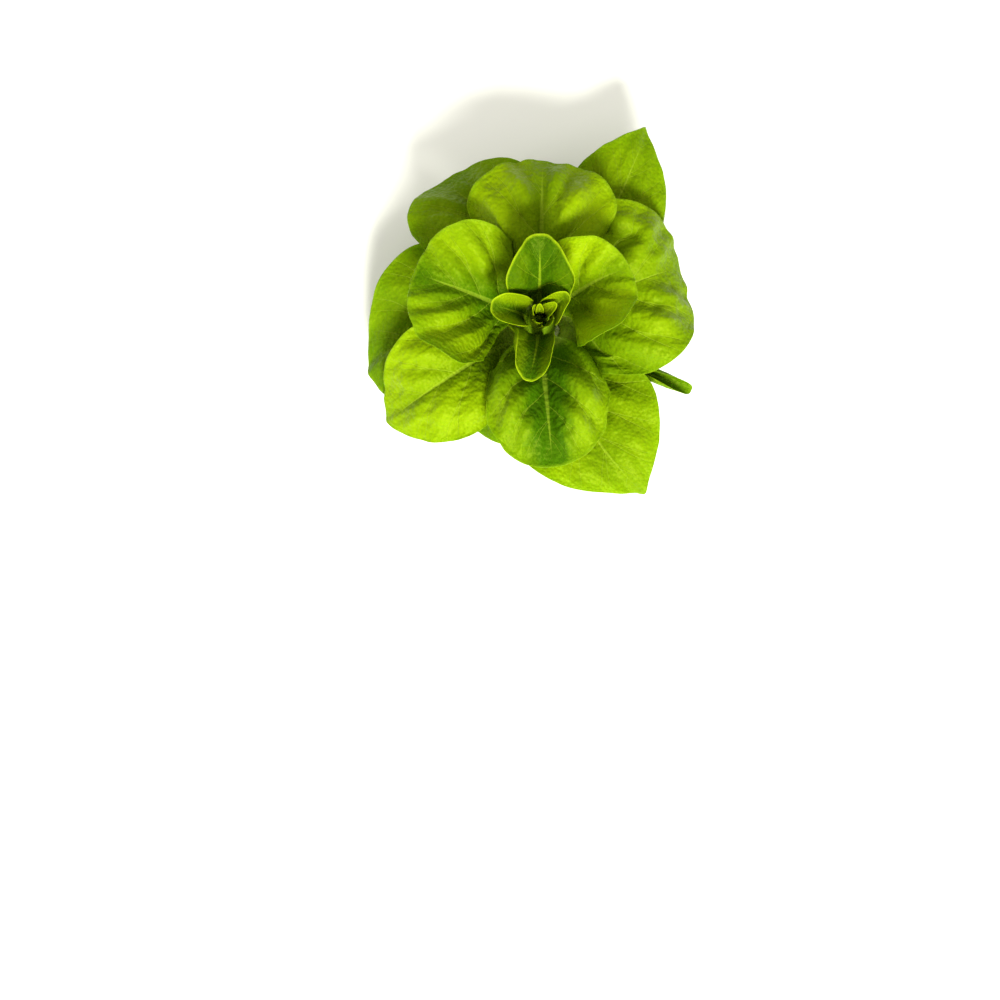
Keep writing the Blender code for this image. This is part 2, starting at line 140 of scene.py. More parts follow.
# Relief of the upper face, with spans as above.
RIB_CLEAR = 0.0035  # the blisters reach their full height this far from the midrib
FULL_RELIEF_WIDTH = 0.06  # narrower leaves have less of it
GROOVE_DEPTH = 0.0007
GROOVE_WIDTH = 0.0022
GROOVE_SPAN = (0.1, 0.3)
BLISTER_SIZE = 0.0062
BLISTER_HEIGHT = 0.00055
BLISTER_SPAN = (0.15, 0.4)
BLISTER_EDGE = 0.7
CRINKLE_SEED = 0.3  # added to a leaf's seed, so that each relief draws its own noise
CRINKLE_SIZE = 0.0034
CRINKLE_HEIGHT = 0.00022
RUFFLE_SIZE = 0.016
RUFFLE_HEIGHT = 0.0014
RUFFLE_SPAN = (0.5, 1.0)
RUFFLE_SEED = 0.5
RELIEF_SPAN = (0.05, 0.2)
LEAST_RELIEF = 0.3  # of the blisters, on the midrib and at the tip


@dataclass(frozen=True)
class Leaf:
    """One leaf. Angles are in degrees; azimuth is seen from above, from +X towards +Y."""

    name: str
    azimuth: float
    foot: float  # height of the foot on the stem
    path: tuple  # (radius, height) of the midrib's two guide points and of its tip
    width: float  # across the flattened blade
    cup: float  # how far each side turns up
    curl: float = 0.0  # how far the margin rolls back; below zero it stands up
    pillow: float = 0.0  # how far each half swells up beside the midrib
    wave: float = 0.0  # height of the margin's waves
    waves: float = 2.0  # waves along the margin
    sweep: float = 0.0  # how far the tip swings sideways, in degrees round the stem
    point: float = 0.0  # how pointed the tip is; 0 is round, and below zero it is squarer
    slim: float = 0.0  # how slim the lower half is, up to 1; below zero it is broad
    rows: int = 12
    columns: int = 10
    tint: float = 0.5  # from 0, the deep green of the outside, to 1, the yellow green of the heart; for each leaf it is also set partly as painted light and shade for how that leaf lies in the light
    hollow: float = 0.12  # how much deeper the green is along the midrib: partly its own colour, partly painted shade in the valley there
    clasp: float = 0.0  # how much tighter the lower half is cupped
    lean: float = 0.0  # how far the left side stands up and the right one rolls down
    quilt: float = 0.0010  # how far the blade swells between its side veins
    veins: float = 5.0  # side veins along each side of the midrib


def tiny_leaf(name, azimuth, foot, path, width, cup, slim):
    return Leaf(
        name, azimuth, foot, path, width, cup, slim=slim, rows=7, columns=6, tint=0.95, quilt=0.0, veins=4
    )


# The tiny leaves of the heart, from the innermost outwards.
HEART = (
    tiny_leaf("heart_1", 96, 0.0520, ((0.0022, 0.062), (0.0014, 0.076), (0.0055, 0.087)), 0.0055, 60, 0.6),
    tiny_leaf("heart_2", 130, 0.0500, ((0.0030, 0.060), (0.0020, 0.074), (0.0058, 0.083)), 0.0055, 60, 0.4),
    tiny_leaf("heart_3", 32, 0.0480, ((0.0038, 0.060), (0.0028, 0.076), (0.0110, 0.086)), 0.0090, 70, 0.5),
    tiny_leaf("heart_4", 250, 0.0464, ((0.0044, 0.058), (0.0034, 0.070), (0.0050, 0.079)), 0.0070, 60, 0.5),
    tiny_leaf("heart_5", 325, 0.0450, ((0.0052, 0.056), (0.0046, 0.067), (0.0085, 0.077)), 0.0120, 55, 0.4),
)

# The other leaves, from the innermost outwards. Each leaf's tint and hollow are set partly as painted light
# and shade for how it lies in the light.
LEAVES = (
    Leaf(
        "inner_leaf_1", azimuth=32, foot=0.0410, path=((0.0095, 0.060), (0.0065, 0.081), (0.020, 0.093)),
        width=0.018, cup=95, clasp=0.5, curl=-0.0010, slim=1.0, rows=9, columns=8,
        tint=0.80, hollow=0.50, quilt=0.0004, veins=4,
    ),
    Leaf(
        "inner_leaf_2", azimuth=173, foot=0.0392, path=((0.0105, 0.058), (0.0080, 0.084), (0.030, 0.092)),
        width=0.028, cup=90, clasp=0.6, curl=-0.002, slim=1.0, rows=10, columns=8,
        tint=0.75, hollow=0.70, quilt=0.0006, veins=4,
    ),
    Leaf(
        "inner_leaf_3", azimuth=266, foot=0.0374, path=((0.0115, 0.057), (0.0085, 0.088), (0.041, 0.094)),
        width=0.034, cup=100, clasp=0.3, curl=-0.001, point=0.3, slim=1.0, sweep=-6, rows=10, columns=8,
        tint=0.45, hollow=0.60, quilt=0.0008, veins=5,
    ),
    Leaf(
        "inner_leaf_4", azimuth=91, foot=0.0356, path=((0.0125, 0.057), (0.0105, 0.092), (0.045, 0.102)),
        width=0.038, cup=75, clasp=0.9, curl=-0.004, slim=1.0, rows=10, columns=8,
        tint=0.10, hollow=0.30, quilt=0.0020, veins=5,
    ),
    Leaf(
        "middle_leaf_1", azimuth=35, foot=0.0336, path=((0.018, 0.050), (0.030, 0.082), (0.059, 0.086)),
        width=0.076, cup=66, curl=-0.004, pillow=0.004, lean=-0.009, slim=0.5, sweep=-8,
        wave=0.0015, waves=2, tint=0.95, hollow=0.50, quilt=0.0060, veins=4,
    ),
    Leaf(
        "middle_leaf_2", azimuth=162, foot=0.0312, path=((0.019, 0.046), (0.040, 0.086), (0.078, 0.080)),
        width=0.091, cup=42, curl=-0.001, pillow=0.004, lean=0.005, slim=0.4,
        wave=0.0022, waves=3, tint=0.62, hollow=0.40, quilt=0.0062, veins=5,
    ),
    Leaf(
        "middle_leaf_3", azimuth=275, foot=0.0288, path=((0.022, 0.056), (0.055, 0.062), (0.089, 0.067)),
        width=0.079, cup=36, curl=0.006, pillow=0.011, point=-0.1, slim=-0.2, wave=0.0015, waves=3,
        tint=0.50, hollow=0.65, quilt=0.0055, veins=5,
    ),
    Leaf(
        "middle_leaf_4", azimuth=89, foot=0.0264, path=((0.021, 0.042), (0.056, 0.098), (0.098, 0.070)),
        width=0.089, cup=6, curl=0.008, pillow=0.006, slim=0.5, wave=0.0010, waves=2,
        tint=0.75, hollow=0.25, quilt=0.0075, veins=4,
    ),
    Leaf(
        "outer_leaf_1", azimuth=20, foot=0.0240, path=((0.026, 0.038), (0.060, 0.090), (0.0945, 0.053)),
        width=0.108, cup=15, curl=0.005, pillow=0.005, point=-0.25, slim=-0.6, wave=0.0025, waves=3,
        tint=0.58, quilt=0.0050, veins=5,
    ),
    Leaf(
        "outer_leaf_2", azimuth=213, foot=0.0218, path=((0.027, 0.034), (0.062, 0.080), (0.114, 0.036)),
        width=0.075, cup=15, curl=0.004, pillow=0.004, point=0.8, slim=-0.2, wave=0.0020, waves=2,
        tint=0.78, quilt=0.0040, veins=5,
    ),
    Leaf(
        "outer_leaf_3", azimuth=112, foot=0.0198, path=((0.027, 0.034), (0.064, 0.080), (0.106, 0.050)),
        width=0.084, cup=15, curl=0.005, pillow=0.004, point=-0.2, slim=0.4, sweep=15,
        wave=0.0020, waves=3, tint=0.48, quilt=0.0030, veins=5,
    ),
    Leaf(
        "outer_leaf_4", azimuth=53.5, foot=0.0178, path=((0.028, 0.030), (0.078, 0.066), (0.134, 0.046)),
        width=0.065, cup=-15, point=1.3, sweep=7.5, wave=0.0020, waves=2,
        tint=0.55, quilt=0.0030, veins=6,
    ),
    Leaf(
        "outer_leaf_5", azimuth=292, foot=0.0158, path=((0.028, 0.026), (0.074, 0.062), (0.124, 0.036)),
        width=0.092, cup=10, pillow=0.003, point=1.2, sweep=9.5, slim=-0.8, wave=0.0025, waves=3,
        tint=0.62, quilt=0.0032, veins=5,
    ),
    Leaf(
        "outer_leaf_6", azimuth=180, foot=0.0138, path=((0.028, 0.023), (0.070, 0.056), (0.111, 0.032)),
        width=0.108, cup=10, curl=0.003, pillow=0.003, point=0.8, sweep=16, wave=0.0020, waves=3,
        tint=0.40, quilt=0.0036, veins=5,
    ),
    Leaf(
        "low_leaf_1", azimuth=334, foot=0.0118, path=((0.030, 0.019), (0.064, 0.038), (0.103, 0.030)),
        width=0.022, cup=160, sweep=2, rows=10, columns=8, tint=0.3, quilt=0.0003, veins=6,
    ),
    Leaf(
        "low_leaf_2", azimuth=105, foot=0.0100, path=((0.030, 0.016), (0.056, 0.036), (0.080, 0.020)),
        width=0.080, cup=20, curl=0.002, wave=0.0020, waves=3, tint=0.3, quilt=0.0016, veins=5,
    ),
    Leaf(
        "low_leaf_3", azimuth=240, foot=0.0085, path=((0.030, 0.013), (0.052, 0.034), (0.078, 0.016)),
        width=0.076, cup=20, curl=0.002, wave=0.0020, waves=2, tint=0.3, quilt=0.0016, veins=5,
    ),
    Leaf(
        "low_leaf_4", azimuth=20, foot=0.0070, path=((0.030, 0.011), (0.050, 0.032), (0.072, 0.014)),
        width=0.072, cup=20, curl=0.002, wave=0.0020, waves=3, tint=0.3, quilt=0.0016, veins=5,
    ),
)


def smooth(low, high, value):
    """0 below low, 1 above high, and an S between them."""
    t = np.clip((value - low) / (high - low), 0, 1)
    return t * t * (3 - 2 * t)


def stem_radius(height):
    share = np.clip(height / STEM_HEIGHT, 0, 1)
    return STEM_FOOT_RADIUS + (STEM_TOP_RADIUS - STEM_FOOT_RADIUS) * share


def tip_radius(share):
    return TIP_FOOT_RADIUS + (TIP_TOP_RADIUS - TIP_FOOT_RADIUS) * share


def foot_radius(height):
    """Where a leaf's foot stands: just off the stem, or a little way into the growing tip."""
    if height < STEM_HEIGHT:
        return stem_radius(height) + STEM_GAP
    return tip_radius((height - STEM_HEIGHT) / TIP_HEIGHT) - ROOT_DEPTH


def core_radius(height):
    """The stem and the growing tip together, at many heights."""
    tip = tip_radius((height - STEM_HEIGHT) / TIP_HEIGHT)
    stem = STEM_FOOT_RADIUS + (STEM_TOP_RADIUS - STEM_FOOT_RADIUS) * height / STEM_HEIGHT
    radius = np.where(height < STEM_HEIGHT + STEM_GAP, stem, tip)
    return np.where(height < STEM_HEIGHT + TIP_HEIGHT + 2 * STEM_GAP, radius, 0)


def spine(leaf):
    """The midrib as a Bezier in the plane of radius and height: its length, and a function
    from the distance along it to radius, height and their rates of change."""
    foot = (foot_radius(leaf.foot), leaf.foot)
    a, b, c, d = (np.array(p) for p in (foot, *leaf.path))
    t = np.linspace(0, 1, SPINE_STEPS + 1)[:, None]
    points = a * (1 - t) ** 3 + 3 * b * t * (1 - t) ** 2 + 3 * c * t * t * (1 - t) + d * t**3
    steps = np.linalg.norm(np.diff(points, axis=0), axis=1)
    along = np.concatenate([[0], np.cumsum(steps)])
    rates = np.gradient(points, along, axis=0)

    def at(distance):
        inside = np.clip(distance, 0, along[-1])
        values = [np.interp(inside, along, column) for column in (*points.T, *rates.T)]
        beyond = distance - inside
        values[0] = values[0] + beyond * values[2]
        values[1] = values[1] + beyond * values[3]
        return values

    return along[-1], at


def row_places(rows):
    """Each row's share of the way out from the foot to the margin."""
    return 1 - (1 - np.linspace(0, 1, rows + 1)) ** ROW_CROWDING


def column_places(columns, crowding):
    """Each column's share of the way round to the left margin, or below zero to the right one."""
    side = np.linspace(1, -1, columns + 1)
    return np.sign(side) * np.abs(side) ** crowding


def spread_crowding(leaf, crowding):
    """The crowding that keeps a finer grid's columns even where a pointed outline draws them together."""
    return crowding / (1 + POINT_SPREAD * max(0, leaf.point))


def flat_blade(leaf, length, out, side):
    """The flattened leaf: x across and y along, where rows out and columns side meet."""
    out, side = np.meshgrid(out, side, indexing="ij")
    turn = side * EGG_END
    pairs = (EGG_CENTRE, EGG_LOWER, WEDGE_HOLLOW)
    centre, lower, hollow = (plain + (slim - plain) * leaf.slim for plain, slim in pairs)
    hollow = max(hollow, LEAST_HOLLOW)
    reach = np.where(np.cos(turn) > 0, 1 - centre, lower) * length
    upper = np.abs(turn) < math.pi / 2
    margin_x = leaf.width / 2 * np.sign(turn) * np.sin(np.abs(turn)) ** np.where(upper, 1 + leaf.point, 1)
    margin_y = centre * length + reach * np.cos(turn)
    foot_x = side * min(FOOT_WIDTH * foot_radius(leaf.foot), FOOT_OF_BLADE * leaf.width) / 2
    return foot_x + (margin_x - foot_x) * out**hollow, margin_y * out, out, side


def leaf_surface(leaf, x, y, out, side):
    """The leaf's upper face, bent from the flat blade."""
    length, spine_at = spine(leaf)
    radius, height, radius_rate, height_rate = spine_at(y)
    half = leaf.width / 2
    unrolled = smooth(0, FOOT_SHARE * length, y)
    cupped = math.radians(leaf.cup) / half * (1 + leaf.clasp * (1 - smooth(*CLASP_SPAN, y / length)))
    bend = (1 - unrolled) / max(foot_radius(leaf.foot), FOOT_BEND) + unrolled * cupped
    bend = np.where(np.abs(bend) < LEAST_BEND, LEAST_BEND, bend)
    across = np.sin(bend * x) / bend
    above = (1 - np.cos(bend * x)) / bend
    share = np.clip(np.abs(x) / half, 0, 1)
    swollen = smooth(*PILLOW_SPAN, y / length) * (1 - smooth(*PILLOW_END, out))
    above = above + leaf.pillow * np.sin(math.pi * share) * swollen
    above = above + leaf.lean * np.sign(x) * share**2 * smooth(*LEAN_SPAN, out)
    above = above - leaf.curl * smooth(*CURL_SPAN, out) ** CURL_POWER
    above = above + leaf.wave * np.sin(math.pi * leaf.waves * side) * smooth(*WAVE_SPAN, out)
    turn = np.radians(leaf.azimuth + leaf.sweep * (y / length) ** 2)
    outwards = np.stack([np.cos(turn), np.sin(turn), 0 * turn], -1)
    sideways = np.stack([-np.sin(turn), np.cos(turn), 0 * turn], -1)
    upwards = np.array([0.0, 0.0, 1.0])
    normal = radius_rate[..., None] * upwards - height_rate[..., None] * outwards
    points = radius[..., None] * outwards + height[..., None] * upwards
    return points + across[..., None] * sideways + above[..., None] * normal


def rib(leaf, x, y, length):
    """How much thicker the midrib is than the blade."""
    rest = np.clip(1 - y / length, 0, 1)
    rib_width = RIB_HALF_WIDTH * (RIB_TIP_SHARE + (1 - RIB_TIP_SHARE) * rest)
    height = RIB_THICKNESS * min(1, leaf.width / FULL_RIB_WIDTH) * rest**RIB_FADE
    return height * np.exp(-((x / rib_width) ** 2))


def wobble(x, y, seed, size):
    """Smooth noise from -1 to 1 over the flat blade, with swellings of about that size."""
    spots = np.stack([x / size, y / size, np.full_like(x, seed)], -1)
    return np.array([noise.noise(spot) for spot in spots.reshape(-1, 3).tolist()]).reshape(x.shape)


def blisters(x, y, seed, size):
    """0 along the creases between blisters, and 1 on top of each."""
    spots = np.stack([x / size, y / size, np.full_like(x, seed)], -1)
    found = (noise.voronoi(spot)[0] for spot in spots.reshape(-1, 3).tolist())
    edges = np.array([distances[1] - distances[0] for distances in found]).reshape(x.shape)
    return smooth(0, BLISTER_EDGE, edges)


def vein_number(leaf, x, y, length, seed):
    """Counts the side veins along the midrib and outwards with them. A vein lies at each whole number
    and a half, and on the left side also half a number on."""
    drift = VEIN_DRIFT * wobble(x, y, seed, DRIFT_SIZE) * smooth(0, DRIFT_START, np.abs(x))
    across = np.abs(x) / length
    along = (y + drift) / length
    return leaf.veins * (along - VEIN_RISE * across - VEIN_ARCH * across**2) / (1 + VEIN_FAN * across)


def from_vein(number, x):
    """How far a point lies from its nearest side vein: 0 on it, and 1 halfway between two."""
    number = number + 0.5 * (x > 0)
    return 2 * np.abs(number - np.floor(number) - 0.5)


def quilting(leaf, x, y, out, length, number):
    """How far the blade swells between its side veins."""
    swell = from_vein(number, x) ** QUILT_POWER
    room = smooth(*QUILT_SIDE_SPAN, np.abs(x) / (leaf.width / 2)) * smooth(*QUILT_FOOT_SPAN, y / length)
    return leaf.quilt * (swell - 0.5) * room * (1 - QUILT_RIM_LOSS * smooth(*QUILT_RIM_SPAN, out))


def grid_triangles(rows, columns):
    """Each cell of a grid as two triangles that face the way its rows and columns turn."""
    corner = (np.arange(rows)[:, None] * (columns + 1) + np.arange(columns)).ravel()
    right, up = corner + 1, corner + columns + 1
    return np.concatenate([np.stack([corner, right, up + 1], 1), np.stack([corner, up + 1, up], 1)])


def vertex_normals(points, triangles):
    a, b, c = (points[triangles[:, i]] for i in range(3))
    facing = np.cross(b - a, c - a)
    normals = np.zeros_like(points)
    for i in range(3):
        np.add.at(normals, triangles[:, i], facing)
    return normals / np.maximum(np.linalg.norm(normals, axis=1, keepdims=True), NO_LENGTH)


def curve_weights(index, count):
    """For each index, how much a smooth curve through the points 0 to count takes of each of them."""
    cell = np.clip(np.floor(index).astype(int), 0, count - 1)
    t = index - cell
    parts = (-t + 2 * t**2 - t**3, 2 - 5 * t**2 + 3 * t**3, t + 4 * t**2 - 3 * t**3, t**3 - t**2)
    found = np.zeros((len(index), count + 3))
    for k, part in enumerate(parts):
        found[np.arange(len(index)), cell + k] += part / 2
    found[:, 1] += 2 * found[:, 0]
    found[:, 2] -= found[:, 0]
    found[:, -2] += 2 * found[:, -1]
    found[:, -3] -= found[:, -1]
    return found[:, 1:-1]


class Sheet:
    """A leaf while it settles: the points of its upper face, and its thickness at each."""

    def __init__(self, leaf, rows, columns, crowding=COLUMN_CROWDING):
        self.leaf = leaf
        self.crowding = crowding
        self.length, _ = spine(leaf)
        self.rows, self.columns = rows, columns
        self.x, self.y, self.out, self.side = flat_blade(
            leaf, self.length, row_places(rows), column_places(columns, crowding)
        )
        self.shape = self.x.shape
        self.points = leaf_surface(leaf, self.x, self.y, self.out, self.side).reshape(-1, 3)
        self.thick = (BLADE_THICKNESS + rib(leaf, self.x, self.y, self.length)).ravel()
        self.freedom = smooth(0.0, ROOTED, self.out.ravel())
        self.triangles = grid_triangles(rows, columns)
        self.settled = None

    def middle(self):
        """The surface halfway through the thickness, its normals, and a tree to search it with."""
        if self.settled:
            return self.settled
        normals = vertex_normals(self.points, self.triangles)
        points = self.points - normals * self.thick[:, None] / 2
        return points, normals, BVHTree.FromPolygons(points.tolist(), self.triangles.tolist())

    def smoothed(self, out, side):
        """Where the rows out and the columns side meet, on a smooth surface through this one's points."""
        row = self.rows * (1 - (1 - out) ** (1 / ROW_CROWDING))
        column = self.columns / 2 * (1 - np.sign(side) * np.abs(side) ** (1 / self.crowding))
        grid = self.points.reshape(*self.shape, 3)
        along, across = curve_weights(row, self.rows), curve_weights(column, self.columns)
        return np.einsum("ri,ijk,cj->rck", along, grid, across, optimize=True)


def shortfall(above, gap, nested, want_above):
    """How far along the normal a point has to move to be at least gap from a surface:
    on the side that nesting asks for, or else on the side where it already is."""
    if not nested:
        want_above = above > 0
    missing = gap - above if want_above else gap + above
    if missing <= 0:
        return 0
    return missing if want_above else -missing


def near_points(middle, other, reach):
    """Each point of one leaf that lies square over or under a face of the other: its number, the face's
    number and normal, how far above the face it lies, and whether both leaves look the same way there."""
    points, normals, _ = middle
    other_points, _, tree = other
    low, high = other_points.min(0) - reach, other_points.max(0) + reach
    for i in np.flatnonzero(((points > low) & (points < high)).all(1)):
        spot, facing, face, far = tree.find_nearest(Vector(points[i]), reach)
        if spot is None:
            continue
        above = (Vector(points[i]) - spot).dot(facing)
        if abs(above) >= SQUARE_ON * far - SQUARE_SLACK:
            yield i, face, np.array(facing), above, facing.dot(Vector(normals[i])) > NESTED


def push_clear(sheet, inner):
    """How each point of sheet has to move to clear the inner leaf."""
    push = np.zeros_like(sheet.points)

    def ask(i, move):
        if np.linalg.norm(move) > np.linalg.norm(push[i]):
            push[i] = move

    reach = min(SETTLE_REACH, REACH_SHARE * min(sheet.leaf.width, inner.leaf.width))
    middle, inner_middle = sheet.middle(), inner.middle()
    for i, face, facing, above, nested in near_points(middle, inner_middle, reach):
        gap = LEAF_GAP + (sheet.thick[i] + inner.thick[inner.triangles[face]].max()) / 2
        ask(i, facing * shortfall(above, gap, nested, False))
    for i, face, facing, above, nested in near_points(inner_middle, middle, reach):
        corners = sheet.triangles[face]
        gap = LEAF_GAP + (inner.thick[i] + sheet.thick[corners].max()) / 2
        for corner in corners:
            ask(corner, -facing * shortfall(above, gap, nested, True))
    return push


def off_the_core(sheet):
    """How each point of sheet has to move to stay outside the stem and the growing tip."""
    radius = np.hypot(sheet.points[:, 0], sheet.points[:, 1])
    missing = np.maximum(core_radius(sheet.points[:, 2]) + STEM_GAP - radius, 0)
    away = sheet.points * (1, 1, 0) / np.maximum(radius, NO_LENGTH)[:, None]
    return away * missing[:, None]


def settle(sheets, rounds):
    """From the heart outwards, bends each leaf clear of those inside it."""
    for k, sheet in enumerate(sheets):
        for _ in range(rounds):
            push = off_the_core(sheet) if k >= len(HEART) else np.zeros_like(sheet.points)
            for inner in sheets[:k]:
                wanted = push_clear(sheet, inner)
                larger = np.linalg.norm(wanted, axis=1) > np.linalg.norm(push, axis=1)
                push[larger] = wanted[larger]
            size = np.linalg.norm(push, axis=1, keepdims=True)
            if size.max() < SETTLED:
                break
            push = push * np.minimum(1, SETTLE_STEP / np.maximum(size, NO_LENGTH)) * sheet.freedom[:, None]
            spread = push.reshape(*sheet.shape, 3)
            padded = np.pad(spread, ((1, 1), (1, 1), (0, 0)), mode="edge")
            around = (padded[:-2, 1:-1] + padded[2:, 1:-1] + padded[1:-1, :-2] + padded[1:-1, 2:]) / 4
            spread = (1 - SETTLE_SPREAD) * spread + SETTLE_SPREAD * around
            sheet.points = sheet.points + spread.reshape(-1, 3) * sheet.freedom[:, None]
        sheet.settled = sheet.middle()
    return sheets


def quilted(sheet, seed):
    """A settled leaf on a denser grid, swollen between its side veins."""
    leaf = sheet.leaf
    crowding = spread_crowding(leaf, COLUMN_CROWDING)
    dense = Sheet(leaf, DENSE * sheet.rows, DENSE * sheet.columns, crowding)
    out, side = dense.out[:, 0], dense.side[0]
    dense.points = sheet.smoothed(out, side).reshape(-1, 3)
    number = vein_number(leaf, dense.x, dense.y, dense.length, seed)
    swell = quilting(leaf, dense.x, dense.y, dense.out, dense.length, number)
    normals = vertex_normals(dense.points, dense.triangles)
    dense.points = dense.points + normals * swell.reshape(-1, 1)
    return dense


def grid_normals(grid):
    """Unit normals of a grid of points, on the upper face's side."""
    facing = np.cross(np.gradient(grid, axis=1), np.gradient(grid, axis=0))
    return facing / np.maximum(np.linalg.norm(facing, axis=-1, keepdims=True), NO_LENGTH)


def border(rows, columns):
    """The grid's border points in order, once round, with the upper face on the left."""
    index = np.arange((rows + 1) * (columns + 1)).reshape(rows + 1, columns + 1)
    return np.concatenate([index[0, :-1], index[:-1, -1], index[-1, :0:-1], index[:0:-1, 0]])


@dataclass
class Blade:
    """A finished blade as a closed mesh, with what its materials read at each point."""

    points: np.ndarray
    faces: np.ndarray
    flat: np.ndarray  # across and along the flattened leaf, in metres, and the side veins' number
    share: np.ndarray  # of the way to the side margin, to the tip, and out from the foot
    # the leaf's tint less the midrib's deeper green, both partly painted light and shade
    tint: np.ndarray


def relief(leaf, x, y, out, length, seed):
    """How far the upper face stands out: its blisters, crinkles and ruffles, less the midrib's groove."""
    size = min(1, leaf.width / FULL_RELIEF_WIDTH)
    before_tip = 1 - smooth(*TIP_FADE, y / length)
    broad = BLISTER_HEIGHT * (blisters(x, y, seed, BLISTER_SIZE) - 0.5)
    fine = CRINKLE_HEIGHT * (blisters(x, y, seed + CRINKLE_SEED, CRINKLE_SIZE) - 0.5)
    rise = size * (broad + fine) * smooth(*BLISTER_SPAN, y / length)
    for room in (before_tip, smooth(0, RIB_CLEAR, np.abs(x))):
        rise = rise * (LEAST_RELIEF + (1 - LEAST_RELIEF) * room)
    ruffle = wobble(x, y, seed + RUFFLE_SEED, RUFFLE_SIZE) * smooth(*RUFFLE_SPAN, out)
    rise = rise + RUFFLE_HEIGHT * size * ruffle
    groove = np.exp(-((x / GROOVE_WIDTH) ** 2)) * smooth(*GROOVE_SPAN, y / length) * before_tip
    return (rise - GROOVE_DEPTH * size * groove) * smooth(*RELIEF_SPAN, out)


def refined_blade(sheet, seed):
    """The leaf at its finest: its relief and its true thickness, closed all round."""
    leaf, length = sheet.leaf, sheet.length
    rows = max(LEAST_ROWS, round(length / ROW_PITCH))
    pairs = max(LEAST_PAIRS, round(MARGIN_SHARE * (leaf.width + 0.5 * length) / COLUMN_PITCH / 2))
    out, side = row_places(rows), column_places(2 * pairs, spread_crowding(leaf, FINE_CROWDING))
    grid = sheet.smoothed(out, side)
    x, y, out, side = flat_blade(leaf, length, out, side)
    upper = grid + grid_normals(grid) * relief(leaf, x, y, out, length, seed)[..., None]
    number = vein_number(leaf, x, y, length, seed)
    rim = smooth(*RIM_SPAN, out)
    size = min(1, leaf.width / FULL_RELIEF_WIDTH)
    ridge = VEIN_RIDGE * size * (1 - from_vein(number, x)) ** RIDGE_POWER * (1 - rim)
    thick = FINE_BLADE + (FINE_RIM - FINE_BLADE) * rim + rib(leaf, x, y, length) + ridge
    lower = upper - grid_normals(upper) * thick[..., None]
    return closed_blade(leaf, upper, lower, (x, y, out, number, length))


def closed_blade(leaf, upper, lower, flat):
    """Joins the upper and the lower face round their border, with a rounded rim."""
    x, y, out, number, length = flat
    rows, columns = upper.shape[0] - 1, upper.shape[1] - 1
    count = (rows + 1) * (columns + 1)
    edge = border(rows, columns)
    upper, lower = upper.reshape(-1, 3), lower.reshape(-1, 3)
    line = (upper[edge] + lower[edge]) / 2
    tangent = np.roll(line, -1, 0) - np.roll(line, 1, 0)
    outside = np.cross(tangent, upper[edge] - lower[edge])
    outside = outside / np.maximum(np.linalg.norm(outside, axis=1, keepdims=True), NO_LENGTH)
    wall = np.linalg.norm(upper[edge] - lower[edge], axis=1, keepdims=True)
    bulge = line + outside * RIM_ROUND * wall
    corner = (np.arange(rows)[:, None] * (columns + 1) + np.arange(columns)).ravel()
    top = np.stack([corner, corner + 1, corner + columns + 2, corner + columns + 1], 1)
    under = top[:, ::-1] + count
    ring = 2 * count + np.arange(len(edge))
    after, ring_after = np.roll(edge, -1), np.roll(ring, -1)
    above_rim = np.stack([after, edge, ring, ring_after], 1)
    below_rim = np.stack([ring_after, ring, edge + count, after + count], 1)
    half = leaf.width / 2
    # deeper green along the midrib: partly the leaf's own colour, partly painted shade in the valley there
    tint = leaf.tint - leaf.hollow * (1 - smooth(0, MIDRIB_GREEN_AND_SHADE_SHARE, np.abs(x) / half)).ravel()
    flat = np.stack([x, y, number], -1).reshape(-1, 3)
    share = np.stack([np.abs(x) / half, y / length, out], -1).reshape(-1, 3)
    return Blade(
        points=np.concatenate([upper, lower, bulge]),
        faces=np.concatenate([top, under, above_rim, below_rim]),
        flat=np.concatenate([flat, flat, flat[edge]]),
        share=np.concatenate([share, share, share[edge]]),
        tint=np.concatenate([tint, tint, tint[edge]]),
    )


def joined(blades):
    """Several blades as the parts of one mesh."""
    start = np.cumsum([0] + [len(blade.points) for blade in blades[:-1]])
    return Blade(
        points=np.concatenate([blade.points for blade in blades]),
        faces=np.concatenate([blade.faces + first for blade, first in zip(blades, start)]),
        flat=np.concatenate([blade.flat for blade in blades]),
        share=np.concatenate([blade.share for blade in blades]),
        tint=np.concatenate([blade.tint for blade in blades]),
    )


def mesh_object(name, points, faces, material):
    """A smooth mesh of four-sided faces."""
    mesh = bpy.data.meshes.new(name)
    mesh.vertices.add(len(points))
    mesh.vertices.foreach_set("co", points.astype(np.float32).ravel())
    mesh.loops.add(faces.size)
    mesh.loops.foreach_set("vertex_index", faces.astype(np.int32).ravel())
    mesh.polygons.add(len(faces))
    mesh.polygons.foreach_set("loop_start", np.arange(0, faces.size, 4, dtype=np.int32))
    mesh.update(calc_edges=True)
    mesh.validate()
    mesh.shade_smooth()
    mesh.materials.append(material)
    obj = bpy.data.objects.new(name, mesh)
    bpy.context.scene.collection.objects.link(obj)
    return obj


def add_attribute(obj, name, values):
    kind = "FLOAT_VECTOR" if values.ndim == 2 else "FLOAT"
    field = "vector" if values.ndim == 2 else "value"
    made = obj.data.attributes.new(name, kind, "POINT")
    made.data.foreach_set(field, values.astype(np.float32).ravel())


def blade_object(name, blade, material):
    obj = mesh_object(name, blade.points, blade.faces, material)
    add_attribute(obj, "flat", blade.flat)
    add_attribute(obj, "share", blade.share)
    add_attribute(obj, "tint", blade.tint)
    return obj


# Materials: a small helper for node trees, the shared groups, and then each finish.


